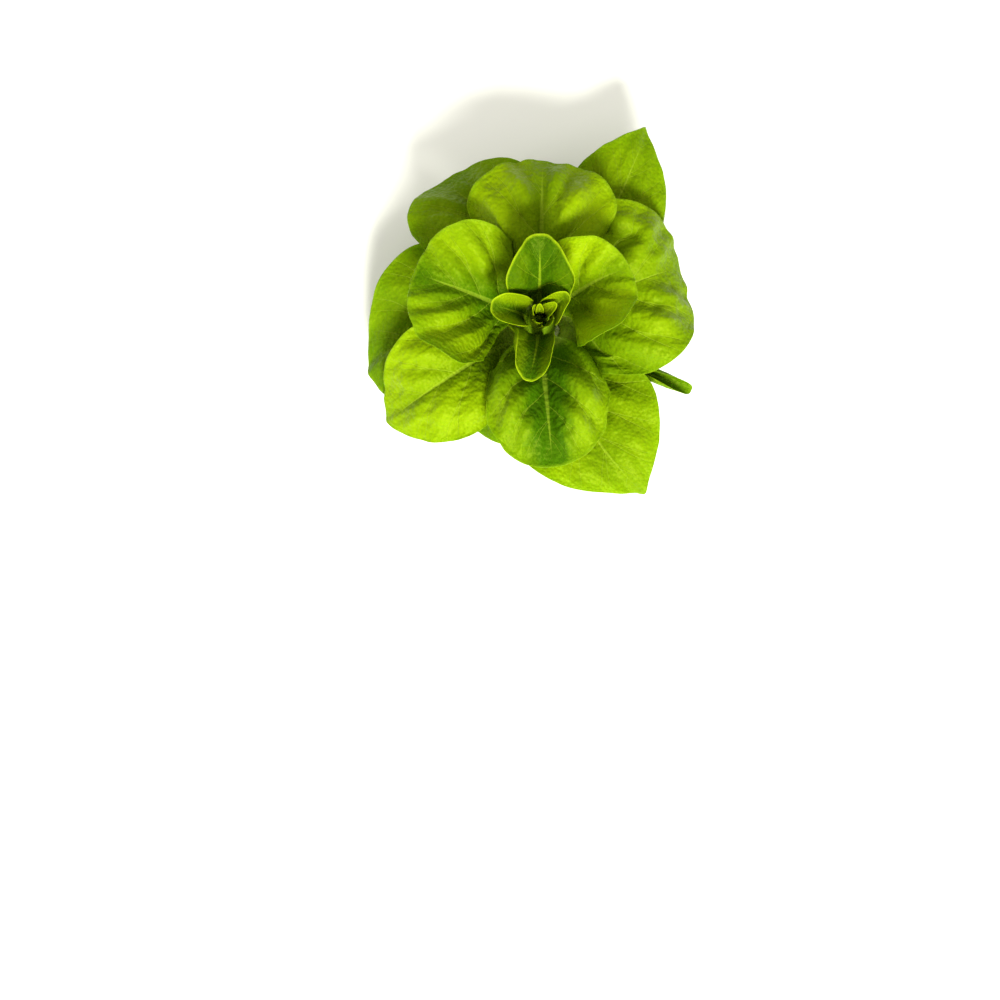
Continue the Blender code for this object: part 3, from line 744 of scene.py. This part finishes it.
class Nodes:
    """Adds nodes to a tree and joins them, each with its inputs given as values or as other sockets."""

    def __init__(self, tree):
        self.tree = tree

    def add(self, kind, inputs=(), **settings):
        node = self.tree.nodes.new(kind)
        for name, value in settings.items():
            setattr(node, name, value)
        for key, value in dict(inputs).items():
            if isinstance(value, bpy.types.NodeSocket):
                self.tree.links.new(value, node.inputs[key])
            else:
                node.inputs[key].default_value = value
        return node

    def math(self, operation, *values, clamp=False):
        inputs = dict(enumerate(values))
        return self.add("ShaderNodeMath", inputs, operation=operation, use_clamp=clamp).outputs[0]

    def times(self, first, second):
        return self.math("MULTIPLY", first, second)

    def plus(self, first, second):
        return self.math("ADD", first, second)

    def minus(self, first, second):
        return self.math("SUBTRACT", first, second)

    def over(self, first, second):
        return self.math("DIVIDE", first, second)

    def ramp(self, value, low, high, low_out=0.0, high_out=1.0):
        """An S from low_out to high_out as value goes from low to high."""
        inputs = {0: value, 1: low, 2: high, 3: low_out, 4: high_out}
        return self.add("ShaderNodeMapRange", inputs, interpolation_type="SMOOTHSTEP").outputs[0]

    def mix(self, share, first, second):
        """From the first colour to the second. Each is a socket, or red, green and blue."""
        inputs = {0: share}
        for key, colour in ((6, first), (7, second)):
            inputs[key] = colour if isinstance(colour, bpy.types.NodeSocket) else (*colour, 1)
        return self.add("ShaderNodeMix", inputs, data_type="RGBA").outputs[2]

    def attribute(self, name, output="Vector"):
        return self.add("ShaderNodeAttribute", attribute_name=name).outputs[output]

    def place(self):
        return self.add("ShaderNodeTexCoord").outputs["Object"]

    def split(self, vector):
        return self.add("ShaderNodeSeparateXYZ", {0: vector}).outputs

    def noise(self, place, scale, detail):
        inputs = {"Vector": place, "Scale": scale, "Detail": detail}
        return self.add("ShaderNodeTexNoise", inputs).outputs[0]

    def bump(self, strength, distance, height):
        inputs = {"Strength": strength, "Distance": distance, "Height": height}
        return self.add("ShaderNodeBump", inputs)

    def group(self, group, inputs):
        return self.add("ShaderNodeGroup", inputs, node_tree=group).outputs

    def join(self, made, sockets):
        """Joins each named output to the socket of that name."""
        for name, output in made.items():
            self.tree.links.new(output, sockets[name])


def new_group(name, inputs, outputs):
    """An empty shader group with named sockets: its nodes, what it is given and what it gives."""
    tree = bpy.data.node_groups.new(name, "ShaderNodeTree")
    for socket, (kind, value) in inputs.items():
        made = tree.interface.new_socket(socket, in_out="INPUT", socket_type=kind)
        if value is not None:
            made.default_value = value
    for socket, kind in outputs.items():
        tree.interface.new_socket(socket, in_out="OUTPUT", socket_type=kind)
    start, end = tree.nodes.new("NodeGroupInput"), tree.nodes.new("NodeGroupOutput")
    return tree, Nodes(tree), start.outputs, end.inputs


# Ramps of the vein masks: from and to, and then the values there where they aren't 0 and 1. Along runs
# to the tip, and out from the foot to the margin.
RIB_WIDTH_ALONG = (0.1, 1.0, 1.0, 0.12)
RIB_EDGE = (0.35, 1.0, 1.0, 0.0)
RIB_ALONG = (0.75, 0.97, 1.0, 0.0)
FORK_OUT = (0.6, 1.0)
VEIN_WIDTH_OUT = (0.3, 1.0, 1.0, 0.35)
VEIN_EDGE = (0.25, 1.0, 1.0, 0.0)
VEIN_ALONG = (0.12, 0.3)
VEIN_OUT = (0.9, 1.0, 1.0, 0.3)
NET_EDGE = (0.0, 0.07, 1.0, 0.0)
NET_ALONG = (0.2, 0.4)
SPECKLE_RELIEF = 0.25


def vein_group():
    """Masks of the midrib, the forking side veins and the net between them, from the flattened leaf."""
    tree, n, given, result = new_group(
        "leaf_veins",
        {
            "Flat": ("NodeSocketVector", None),
            "Share": ("NodeSocketVector", None),
            "Rib Width": ("NodeSocketFloat", 0.0019),
            "Vein Width": ("NodeSocketFloat", 0.034),
            "Fork Spread": ("NodeSocketFloat", 0.17),
            "Net Size": ("NodeSocketFloat", 0.0062),
        },
        {"Rib": "NodeSocketFloat", "Veins": "NodeSocketFloat", "Net": "NodeSocketFloat"},
    )
    flat, share = n.split(given["Flat"]), n.split(given["Share"])
    across = n.math("ABSOLUTE", flat["X"])
    rib_width = n.times(given["Rib Width"], n.ramp(share["Y"], *RIB_WIDTH_ALONG))
    rib = n.ramp(n.over(across, rib_width), *RIB_EDGE)
    rib = n.times(rib, n.ramp(share["Y"], *RIB_ALONG))
    on_left = n.times(n.math("GREATER_THAN", flat["X"], 0.0), 0.5)
    place = n.math("FRACT", n.plus(flat["Z"], on_left))
    away = n.math("ABSOLUTE", n.minus(place, 0.5))
    forked = n.times(given["Fork Spread"], n.ramp(share["Z"], *FORK_OUT))
    away = n.math("ABSOLUTE", n.minus(away, forked))
    width = n.times(given["Vein Width"], n.ramp(share["Z"], *VEIN_WIDTH_OUT))
    veins = n.ramp(n.over(away, width), *VEIN_EDGE)
    veins = n.times(veins, n.ramp(share["Y"], *VEIN_ALONG))
    veins = n.times(veins, n.ramp(share["Z"], *VEIN_OUT))
    scale = n.over(1.0, given["Net Size"])
    cells = n.add(
        "ShaderNodeTexVoronoi", {"Vector": given["Flat"], "Scale": scale},
        voronoi_dimensions="2D", feature="DISTANCE_TO_EDGE",
    )
    net = n.ramp(cells.outputs["Distance"], *NET_EDGE)
    net = n.times(net, n.ramp(share["Y"], *NET_ALONG))
    n.join({"Rib": rib, "Veins": veins, "Net": net}, result)
    return tree


def tissue_group():
    """What leaf tissue has everywhere: broad mottling, fine speckle, and the relief of its small cells."""
    tree, n, given, result = new_group(
        "leaf_tissue",
        {
            "Place": ("NodeSocketVector", None),
            "Flat": ("NodeSocketVector", None),
            "Mottle Size": ("NodeSocketFloat", 0.028),
            "Speckle Size": ("NodeSocketFloat", 0.0016),
            "Wrinkle Size": ("NodeSocketFloat", 0.0024),
        },
        {"Mottle": "NodeSocketFloat", "Speckle": "NodeSocketFloat", "Relief": "NodeSocketFloat"},
    )
    mottle = n.noise(given["Place"], n.over(1.0, given["Mottle Size"]), 3.0)
    speckle = n.noise(given["Place"], n.over(1.0, given["Speckle Size"]), 2.0)
    scale = n.over(1.0, given["Wrinkle Size"])
    wrinkles = n.add(
        "ShaderNodeTexVoronoi", {"Vector": given["Flat"], "Scale": scale, "Smoothness": 0.6},
        voronoi_dimensions="2D", feature="SMOOTH_F1",
    )
    bumps = n.minus(1.0, wrinkles.outputs["Distance"])
    relief = n.plus(bumps, n.times(speckle, SPECKLE_RELIEF))
    n.join({"Mottle": mottle, "Speckle": speckle, "Relief": relief}, result)
    return tree


def new_material(name, values):
    """A new material with plain values on its shader's own sockets: its nodes, and its shader."""
    made = bpy.data.materials.new(name)
    made.use_nodes = True
    shader = made.node_tree.nodes["Principled BSDF"]
    for socket, value in values.items():
        shader.inputs[socket].default_value = value
    return made, Nodes(made.node_tree), shader


@dataclass(frozen=True)
class Greens:
    """The colours of one kind of leaf, in linear light."""

    deep: tuple  # the darker green of its shaded, older tissue, and what the painted shade along the midrib and towards the foot darkens to
    fresh: tuple  # the yellow green of its young, thin tissue
    vein: tuple
    rim: tuple
    foot: tuple


LEAF_GREENS = Greens(
    deep=(0.032, 0.092, 0.0006),
    fresh=(0.200, 0.300, 0.0010),
    vein=(0.25, 0.35, 0.020),
    # Painted shade: the outer leaves' rim is darker than their blade, for the shade where the margin turns
    # over.
    rim=(0.12, 0.20, 0.004),
    foot=(0.30, 0.40, 0.04),
)
HEART_GREENS = Greens(
    deep=(0.030, 0.078, 0.0006),
    fresh=(0.170, 0.250, 0.0010),
    vein=(0.27, 0.38, 0.012),
    rim=(0.28, 0.38, 0.006),
    # Painted shade: the heart leaves' feet are a deep green for the shade in the middle of the head.
    foot=(0.12, 0.21, 0.004),
)

# How strongly each thing shows in the blade's colour, gloss and relief, and the ramps that set where,
# along to the tip or out to the margin.
MOTTLE_SHARE = 0.55
SPECKLE_SHARE = 0.25
# Painted shade: the blade's green darkens towards its foot, deep in the head where shade falls.
FOOTWARD_PAINTED_SHADE = 0.30
FOOTWARD_SHADE_ALONG = (0.70, 0.25)
FOOT_ALONG = (0.22, 0.02)
NET_COLOUR = 0.03
VEIN_COLOUR = 0.38
RIB_COLOUR = 0.40
RIM_COLOUR = 0.6
RIM_OUT = (0.978, 1.0)
BLADE_ROUGHNESS = 0.34
SPECKLE_ROUGHNESS = 0.16
VEIN_POLISH = 0.06
NET_RELIEF = 0.07
VEIN_BUMP = (0.7, 0.00035)  # strength and height
TISSUE_BUMP = (0.6, 0.00070)
BLADE_FINISH = {
    "Subsurface Weight": 0.30,
    "Subsurface Radius": (0.7, 1.0, 0.08),
    "Subsurface Scale": 0.0016,
    "Specular IOR Level": 0.11,
    "Specular Tint": (0.9, 1.0, 0.10, 1),
}


def leaf_material(name, greens, veins, tissue):
    """A thin, waxy, slightly translucent blade with pale veins, a rim that is light on the heart's leaves
    and darker on the others as painted shade, and painted shade towards its foot and, with its own deeper
    green, along its midrib.
    """
    made, n, shader = new_material(name, BLADE_FINISH)
    flat, share, tint = n.attribute("flat"), n.attribute("share"), n.attribute("tint", "Fac")
    parts = n.split(share)
    vein = n.group(veins, {"Flat": flat, "Share": share})
    cells = n.group(tissue, {"Place": n.place(), "Flat": flat})
    tone = n.plus(tint, n.times(n.minus(cells["Mottle"], 0.5), MOTTLE_SHARE))
    # painted shade: darker towards the foot, deep in the head
    tone = n.minus(tone, n.times(n.ramp(parts["Y"], *FOOTWARD_SHADE_ALONG), FOOTWARD_PAINTED_SHADE))
    speckle = n.times(n.minus(cells["Speckle"], 0.5), SPECKLE_SHARE)
    tone = n.math("ADD", tone, speckle, clamp=True)
    colour = n.mix(tone, greens.deep, greens.fresh)
    colour = n.mix(n.ramp(parts["Y"], *FOOT_ALONG), colour, greens.foot)
    for mask, strength in (("Net", NET_COLOUR), ("Veins", VEIN_COLOUR), ("Rib", RIB_COLOUR)):
        colour = n.mix(n.times(vein[mask], strength), colour, greens.vein)
    # the rim: lighter on the heart's leaves, darker on the others as painted shade where the margin turns
    colour = n.mix(n.times(n.ramp(parts["Z"], *RIM_OUT), RIM_COLOUR), colour, greens.rim)
    gloss = n.plus(BLADE_ROUGHNESS, n.times(cells["Speckle"], SPECKLE_ROUGHNESS))
    gloss = n.minus(gloss, n.times(vein["Veins"], VEIN_POLISH))
    lines = n.math("MAXIMUM", vein["Veins"], vein["Rib"])
    lines = n.math("MAXIMUM", n.times(vein["Net"], NET_RELIEF), lines)
    sunk = n.bump(*VEIN_BUMP, n.minus(1.0, lines))
    skin = n.bump(*TISSUE_BUMP, cells["Relief"])
    n.join({"Normal": sunk.outputs[0]}, skin.inputs)
    n.join({"Base Color": colour, "Roughness": gloss, "Normal": skin.outputs[0]}, shader.inputs)
    return made


STEM_GREEN = (0.52, 0.60, 0.26)
STEM_CREAM = (0.78, 0.78, 0.52)
# painted shade: the stem's deep green up among the leaves' feet
STEM_SHADE_GREEN = (0.10, 0.18, 0.004)
STEM_BROWN = (0.34, 0.17, 0.06)
STEM_TAN = (0.50, 0.38, 0.17)
STEM_BUMP = (0.5, 0.0002)
STEM_FINISH = {
    "Subsurface Weight": 0.2,
    "Subsurface Radius": (1.0, 1.0, 0.5),
    "Subsurface Scale": 0.002,
    "Specular IOR Level": 0.08,
    "Specular Tint": (0.9, 1.0, 0.10, 1),
}

# The skin: ramps over its fibres and its height, and its roughness with what the fibres add.
FIBRE_SCALE = (900.0, 900.0, 90.0)
FIBRE_GREEN = (0.45, 0.75)
GREEN_HEIGHTS = (0.004, 0.030)  # where the skin turns from cream to green
STEM_SHADE_HEIGHTS = (0.012, 0.026)  # where it turns to the deep green painted as shade between the leaves' feet
SKIN_ROUGHNESS = 0.42
FIBRE_ROUGHNESS = 0.2

# The cut: ramps over its radius, and over the blotches that break up the brown.
BROWN_RADII = (0.0075, 0.0100)  # where the brown ring begins
BROWN_END = (0.0140, 0.0118)
SKIN_RADII = (0.0132, 0.0146)
BLOTCH_SCALE = 260.0
BLOTCH_BROWN = (0.35, 0.7)
GRAIN_SCALE = 1500.0
RING_BROWN = 0.55
PITH_BROWN = 0.15
CUT_ROUGHNESS = 0.45
BLOTCH_ROUGHNESS = 0.3
DRIED_SCALE = 700.0
DRIED_BROWN = (0.35, 0.65)
DRIED_ROUGHNESS = (0.2, 0.8, 0.35, 0.65)


def stem_skin_material():
    """Pale green skin with fine lengthwise fibres, whiter towards the cut and painted a deep green shade up
    among the leaves' feet.
    """
    made, n, shader = new_material("stem_skin", STEM_FINISH)
    place = n.place()
    stretched = n.add("ShaderNodeMapping", {"Vector": place, "Scale": FIBRE_SCALE}).outputs[0]
    fibres = n.noise(stretched, 1.0, 3.0)
    height = n.split(place)["Z"]
    colour = n.mix(n.ramp(height, *GREEN_HEIGHTS), STEM_CREAM, STEM_GREEN)
    colour = n.mix(n.ramp(fibres, *FIBRE_GREEN), colour, STEM_GREEN)
    # painted shade up among the leaves' feet
    colour = n.mix(n.ramp(height, *STEM_SHADE_HEIGHTS), colour, STEM_SHADE_GREEN)
    roughness = n.plus(SKIN_ROUGHNESS, n.times(fibres, FIBRE_ROUGHNESS))
    normal = n.bump(*STEM_BUMP, fibres).outputs[0]
    n.join({"Base Color": colour, "Roughness": roughness, "Normal": normal}, shader.inputs)
    return made


def stem_cut_material():
    """The cut: a cream pith, a browned ring round it, and fibres that run with the stem."""
    made, n, shader = new_material("stem_cut", {})
    place = n.place()
    parts = n.split(place)
    across = n.add("ShaderNodeCombineXYZ", {0: parts["X"], 1: parts["Y"]}).outputs[0]
    radius = n.add("ShaderNodeVectorMath", {0: across}, operation="LENGTH").outputs["Value"]
    blotch = n.noise(place, BLOTCH_SCALE, 4.0)
    grain = n.noise(place, GRAIN_SCALE, 2.0)
    ring = n.times(n.ramp(radius, *BROWN_RADII), n.ramp(radius, *BROWN_END))
    browned = n.math("MULTIPLY_ADD", ring, RING_BROWN, PITH_BROWN)
    browned = n.times(browned, n.ramp(blotch, *BLOTCH_BROWN))
    colour = n.mix(browned, STEM_CREAM, STEM_BROWN)
    colour = n.mix(n.ramp(radius, *SKIN_RADII), colour, STEM_GREEN)
    roughness = n.plus(CUT_ROUGHNESS, n.times(blotch, BLOTCH_ROUGHNESS))
    normal = n.bump(*STEM_BUMP, n.plus(grain, blotch)).outputs[0]
    n.join({"Base Color": colour, "Roughness": roughness, "Normal": normal}, shader.inputs)
    return made


def bundle_material():
    """The ends of the sap bundles: tan, darker where they have dried."""
    made, n, shader = new_material("stem_bundle", {})
    dried = n.noise(n.place(), DRIED_SCALE, 3.0)
    colour = n.mix(n.ramp(dried, *DRIED_BROWN), STEM_TAN, STEM_BROWN)
    roughness = n.ramp(dried, *DRIED_ROUGHNESS)
    n.join({"Base Color": colour, "Roughness": roughness}, shader.inputs)
    return made


# The stem: its skin swells out under each leaf's foot, and its cut is a little hollow.
STEM_AROUND = 144  # points round it and rows up it, and so for the growing tip below
STEM_UP = 90
FOOT_SWELL = 0.0011
SWELL_WIDTH = 0.0050
SWELL_HEIGHT = 0.0022
SKIN_FIBRES = 34
FIBRE_DEPTH = 0.00010
FIBRE_TWIST = 40.0  # radians a metre
ROWS_CROWDING = 1.2
CUT_RIM = (0.0116, 0.0134)  # radii over which the cut's hollow rises to its rim
CUT_DIP = 0.00045
CUT_UNEVEN = 0.00006
UNEVEN_SIZE = 0.003
CUT_RINGS = 22
TIP_AROUND = 48
TIP_UP = 16
TIP_ROUND = 0.5  # how much narrower the rounded top is
TIP_ROUND_SPAN = (0.9, 1.0)
TIP_TINT = 0.6
TIP_TINT_RISE = 0.3


def circle(radius, height, turn):
    """A ring of points, where radius and height may change on the way round."""
    return np.stack([radius * np.cos(turn), radius * np.sin(turn), height + 0 * turn], 1)


def stem_side(turn, height):
    """The skin's radius at a turn round the axis and a height."""
    radius = stem_radius(height)
    swell = np.zeros_like(turn)
    for leaf in LEAVES:
        apart = (turn - math.radians(leaf.azimuth) + math.pi) % (2 * math.pi) - math.pi
        near = np.exp(-((apart * radius / SWELL_WIDTH) ** 2) - ((height - leaf.foot) / SWELL_HEIGHT) ** 2)
        swell = np.maximum(swell, near)
    edge = np.clip(1 - height / STEM_EDGE, 0, 1)
    fibres = FIBRE_DEPTH * np.sin(SKIN_FIBRES * turn + FIBRE_TWIST * height)
    rounding = STEM_EDGE * (1 - np.sqrt(1 - edge**2))
    return radius + (FOOT_SWELL * swell + fibres) * (1 - edge) - rounding


def turned_object(name, rings, low, high, materials):
    """A closed mesh through rings of points, between poles at the heights low and high."""
    around = len(rings[0])
    points = np.concatenate([[(0, 0, low)], *rings, [(0, 0, high)]])
    here = np.arange(around)
    after = np.roll(here, -1)
    faces = [(0, 1 + b, 1 + a) for a, b in zip(here, after)]
    for ring in range(len(rings) - 1):
        below = 1 + ring * around
        above = below + around
        faces += [(below + a, below + b, above + b, above + a) for a, b in zip(here, after)]
    last = len(points) - 1 - around
    faces += [(last + a, last + b, len(points) - 1) for a, b in zip(here, after)]
    mesh = bpy.data.meshes.new(name)
    mesh.from_pydata(points.tolist(), [], [tuple(int(i) for i in face) for face in faces])
    mesh.validate()
    mesh.shade_smooth()
    for material in materials:
        mesh.materials.append(material)
    obj = bpy.data.objects.new(name, mesh)
    bpy.context.scene.collection.objects.link(obj)
    return obj


def stem_piece(skin, cut):
    """The stem: its cut face, its skin and its blunt top."""
    turn = np.linspace(0, 2 * math.pi, STEM_AROUND, endpoint=False)
    edge_radius = stem_side(turn, np.zeros_like(turn))
    rings = []
    for k in range(1, CUT_RINGS):
        radius = edge_radius * k / CUT_RINGS
        inside = 1 - smooth(*CUT_RIM, radius)
        uneven = CUT_UNEVEN * wobble(radius * np.cos(turn), radius * np.sin(turn), 0.5, UNEVEN_SIZE)
        rings.append(circle(radius, (CUT_DIP + uneven) * inside, turn))
    for height in STEM_HEIGHT * np.linspace(0, 1, STEM_UP + 1) ** ROWS_CROWDING:
        rings.append(circle(stem_side(turn, np.full_like(turn, height)), height, turn))
    obj = turned_object("stem_body", rings, CUT_DIP, STEM_HEIGHT, [skin, cut])
    on_cut, faces = STEM_AROUND * CUT_RINGS, obj.data.polygons
    faces.foreach_set("material_index", [int(i < on_cut) for i in range(len(faces))])
    return obj


def tip_piece(material):
    """The growing tip: a small cone with a rounded top, between the tiny leaves."""
    turn = np.linspace(0, 2 * math.pi, TIP_AROUND, endpoint=False)
    foot, top = STEM_HEIGHT + TIP_GAP, STEM_HEIGHT + TIP_GAP + TIP_HEIGHT
    rings = []
    for share in np.linspace(0, 1, TIP_UP + 1):
        radius = tip_radius(share) * (1 - TIP_ROUND * smooth(*TIP_ROUND_SPAN, share))
        rings.append(circle(radius, foot + (top - foot) * share, turn))
    obj = turned_object("growing_tip", rings, foot, top, [material])
    places = np.array([corner.co for corner in obj.data.vertices])
    round_it = np.arctan2(places[:, 1], places[:, 0]) * TIP_FOOT_RADIUS
    off_the_rib = RIB_HALF_WIDTH + np.abs(round_it)
    height = (places[:, 2] - foot) / TIP_HEIGHT
    add_attribute(obj, "flat", np.stack([off_the_rib, places[:, 2], 0 * height], 1))
    add_attribute(obj, "share", np.stack([0 * height, 0.5 + 0.3 * height, 0.5 + 0 * height], 1))
    add_attribute(obj, "tint", TIP_TINT + TIP_TINT_RISE * height)
    return obj


# The sap bundles: small blunt ends in a ring on the cut, placed by Geometry Nodes.
BUNDLE_SIZES = {
    "Count": 46,
    "Ring Radius": 0.0098,
    "Ring Spread": 0.0008,
    "Bundle Radius": 0.00050,
    "Height": CUT_DIP,
    "Flatness": 0.55,
    "Seed": 7,
}


def bundle_tree(finish):
    """Geometry Nodes: a ring of small domes, each drawn a little aside and in its own size."""
    tree = bpy.data.node_groups.new("stem_bundles", "GeometryNodeTree")
    tree.interface.new_socket("Geometry", in_out="INPUT", socket_type="NodeSocketGeometry")
    for name, value in BUNDLE_SIZES.items():
        kind = "NodeSocketInt" if isinstance(value, int) else "NodeSocketFloat"
        tree.interface.new_socket(name, in_out="INPUT", socket_type=kind)
    tree.interface.new_socket("Geometry", in_out="OUTPUT", socket_type="NodeSocketGeometry")
    n = Nodes(tree)
    given = tree.nodes.new("NodeGroupInput").outputs
    index = n.add("GeometryNodeInputIndex").outputs[0]

    def draw(low, high, number):
        """A random number for each bundle, drawn with its own seed."""
        seed = n.plus(given["Seed"], number)
        given_to = {2: low, 3: high, 7: index, 8: seed}
        return n.add("FunctionNodeRandomValue", given_to, data_type="FLOAT").outputs[1]

    step = n.over(2 * math.pi, given["Count"])
    turn = n.times(n.plus(index, draw(-0.35, 0.35, 0)), step)
    radius = n.math("MULTIPLY_ADD", given["Ring Spread"], draw(-1.0, 1.0, 1), given["Ring Radius"])
    x, y = (n.times(radius, n.math(side, turn)) for side in ("COSINE", "SINE"))
    place = n.add("ShaderNodeCombineXYZ", {0: x, 1: y, 2: given["Height"]}).outputs[0]
    points = n.add("GeometryNodePoints", {"Count": given["Count"], "Position": place}).outputs[0]
    ball = {"Radius": given["Bundle Radius"], "Subdivisions": 3}
    dome = n.add("GeometryNodeMeshIcoSphere", ball).outputs[0]
    size = draw(0.6, 1.15, 2)
    flat = n.times(size, given["Flatness"])
    scale = n.add("ShaderNodeCombineXYZ", {0: size, 1: size, 2: flat}).outputs[0]
    setting = {"Points": points, "Instance": dome, "Scale": scale}
    placed = n.add("GeometryNodeInstanceOnPoints", setting).outputs[0]
    real = n.add("GeometryNodeRealizeInstances", {"Geometry": placed}).outputs[0]
    rounded = n.add("GeometryNodeSetShadeSmooth", {"Geometry": real}).outputs[0]
    done = n.add("GeometryNodeSetMaterial", {"Geometry": rounded, "Material": finish}).outputs[0]
    tree.links.new(done, tree.nodes.new("NodeGroupOutput").inputs[0])
    return tree


def bundle_piece(finish):
    """Runs the tree once, and keeps what it makes as a plain mesh."""
    seat = bpy.data.objects.new("bundle_seat", bpy.data.meshes.new("bundle_seat"))
    bpy.context.scene.collection.objects.link(seat)
    grown = seat.modifiers.new("bundles", "NODES")
    grown.node_group = bundle_tree(finish)
    for socket in grown.node_group.interface.items_tree:
        if socket.name in BUNDLE_SIZES:
            grown[socket.identifier] = BUNDLE_SIZES[socket.name]
    shape = seat.evaluated_get(bpy.context.evaluated_depsgraph_get())
    mesh = bpy.data.meshes.new_from_object(shape)
    bpy.data.objects.remove(seat)
    obj = bpy.data.objects.new("stem_bundles", mesh)
    bpy.context.scene.collection.objects.link(obj)
    return obj


# The floor, the light and the camera.
FLOOR_SIZE = 6.0
FLOOR_ROUGHNESS = (0.0, 1.0, 0.75, 0.85)
FLOOR_FINISH = {"Base Color": (0.95, 0.95, 0.95, 1), "Specular IOR Level": 0.1}
SKY_COLOUR = (1.0, 0.98, 0.88, 1)
SKY_STRENGTH = 0.68
LAMP_COLOUR = (1.0, 1.0, 0.88)
LAMP_AIM = (0, 0, 0.05)
LAMPS = (  # name, place, size and power
    ("key", (0.25, -1.35, 1.35), 0.7, 90.0),
    ("left", (-1.5, -0.3, 1.0), 0.8, 8.0),
    ("right", (1.4, 0.7, 1.3), 0.8, 6.0),
)
CAMERA_HEIGHT = 1.2
CAMERA_PLACE = (-0.0237, -0.1094)
CAMERA_SENSOR = 36.0
CAMERA_REACH = 1.9  # lens length over sensor width


def floor():
    made, n, shader = new_material("pale_floor", FLOOR_FINISH)
    roughness = n.ramp(n.noise(n.place(), 4.0, 2.0), *FLOOR_ROUGHNESS)
    n.join({"Roughness": roughness}, shader.inputs)
    half = FLOOR_SIZE / 2
    points = np.array([(-half, -half, 0), (half, -half, 0), (half, half, 0), (-half, half, 0)])
    obj = mesh_object("floor", points, np.array([[0, 1, 2, 3]]), made)
    return obj


def area_light(name, place, size, power):
    """A square soft light that faces the lettuce."""
    lamp = bpy.data.lights.new(name, "AREA")
    lamp.shape = "SQUARE"
    lamp.size = size
    lamp.energy = power
    lamp.color = LAMP_COLOUR
    obj = bpy.data.objects.new(name, lamp)
    obj.location = place
    obj.rotation_mode = "QUATERNION"
    obj.rotation_quaternion = (Vector(LAMP_AIM) - Vector(place)).to_track_quat("-Z", "Y")
    bpy.context.scene.collection.objects.link(obj)
    return obj


def studio():
    world = bpy.data.worlds.new("studio")
    world.use_nodes = True
    sky = world.node_tree.nodes["Background"]
    sky.inputs["Color"].default_value = SKY_COLOUR
    sky.inputs["Strength"].default_value = SKY_STRENGTH
    bpy.context.scene.world = world
    for lamp in LAMPS:
        area_light(*lamp)


def camera():
    lens = bpy.data.cameras.new("camera")
    lens.sensor_width = CAMERA_SENSOR
    lens.lens = CAMERA_SENSOR * CAMERA_REACH
    obj = bpy.data.objects.new("camera", lens)
    obj.location = (*CAMERA_PLACE, CAMERA_HEIGHT)
    bpy.context.scene.collection.objects.link(obj)
    bpy.context.scene.camera = obj


def fit(obj, node):
    """The finished piece rides with the head and stands for its solid."""
    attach(obj, "root")
    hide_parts(node)


def main():
    veins, tissue = vein_group(), tissue_group()
    leaf_green = leaf_material("leaf_blade", LEAF_GREENS, veins, tissue)
    heart_green = leaf_material("heart_blade", HEART_GREENS, veins, tissue)
    sheets = settle([Sheet(leaf, leaf.rows, leaf.columns) for leaf in HEART + LEAVES], SETTLE_ROUNDS)
    dense = settle([quilted(sheet, seed) for seed, sheet in enumerate(sheets)], DENSE_ROUNDS)
    blades = [refined_blade(sheet, seed) for seed, sheet in enumerate(dense)]
    tiny = blades[: len(HEART)]
    fit(blade_object("heart_leaves", joined(tiny), heart_green), "heart")
    for leaf, blade in zip(LEAVES, blades[len(HEART) :]):
        inner = leaf.name.startswith("inner")
        obj = blade_object(leaf.name + "_blade", blade, heart_green if inner else leaf_green)
        fit(obj, leaf.name)
    fit(tip_piece(heart_green), "heart")
    fit(stem_piece(stem_skin_material(), stem_cut_material()), "stem")
    fit(bundle_piece(bundle_material()), "stem")
    floor()
    studio()
    camera()
    bpy.context.scene.view_settings.view_transform = "Standard"


main()
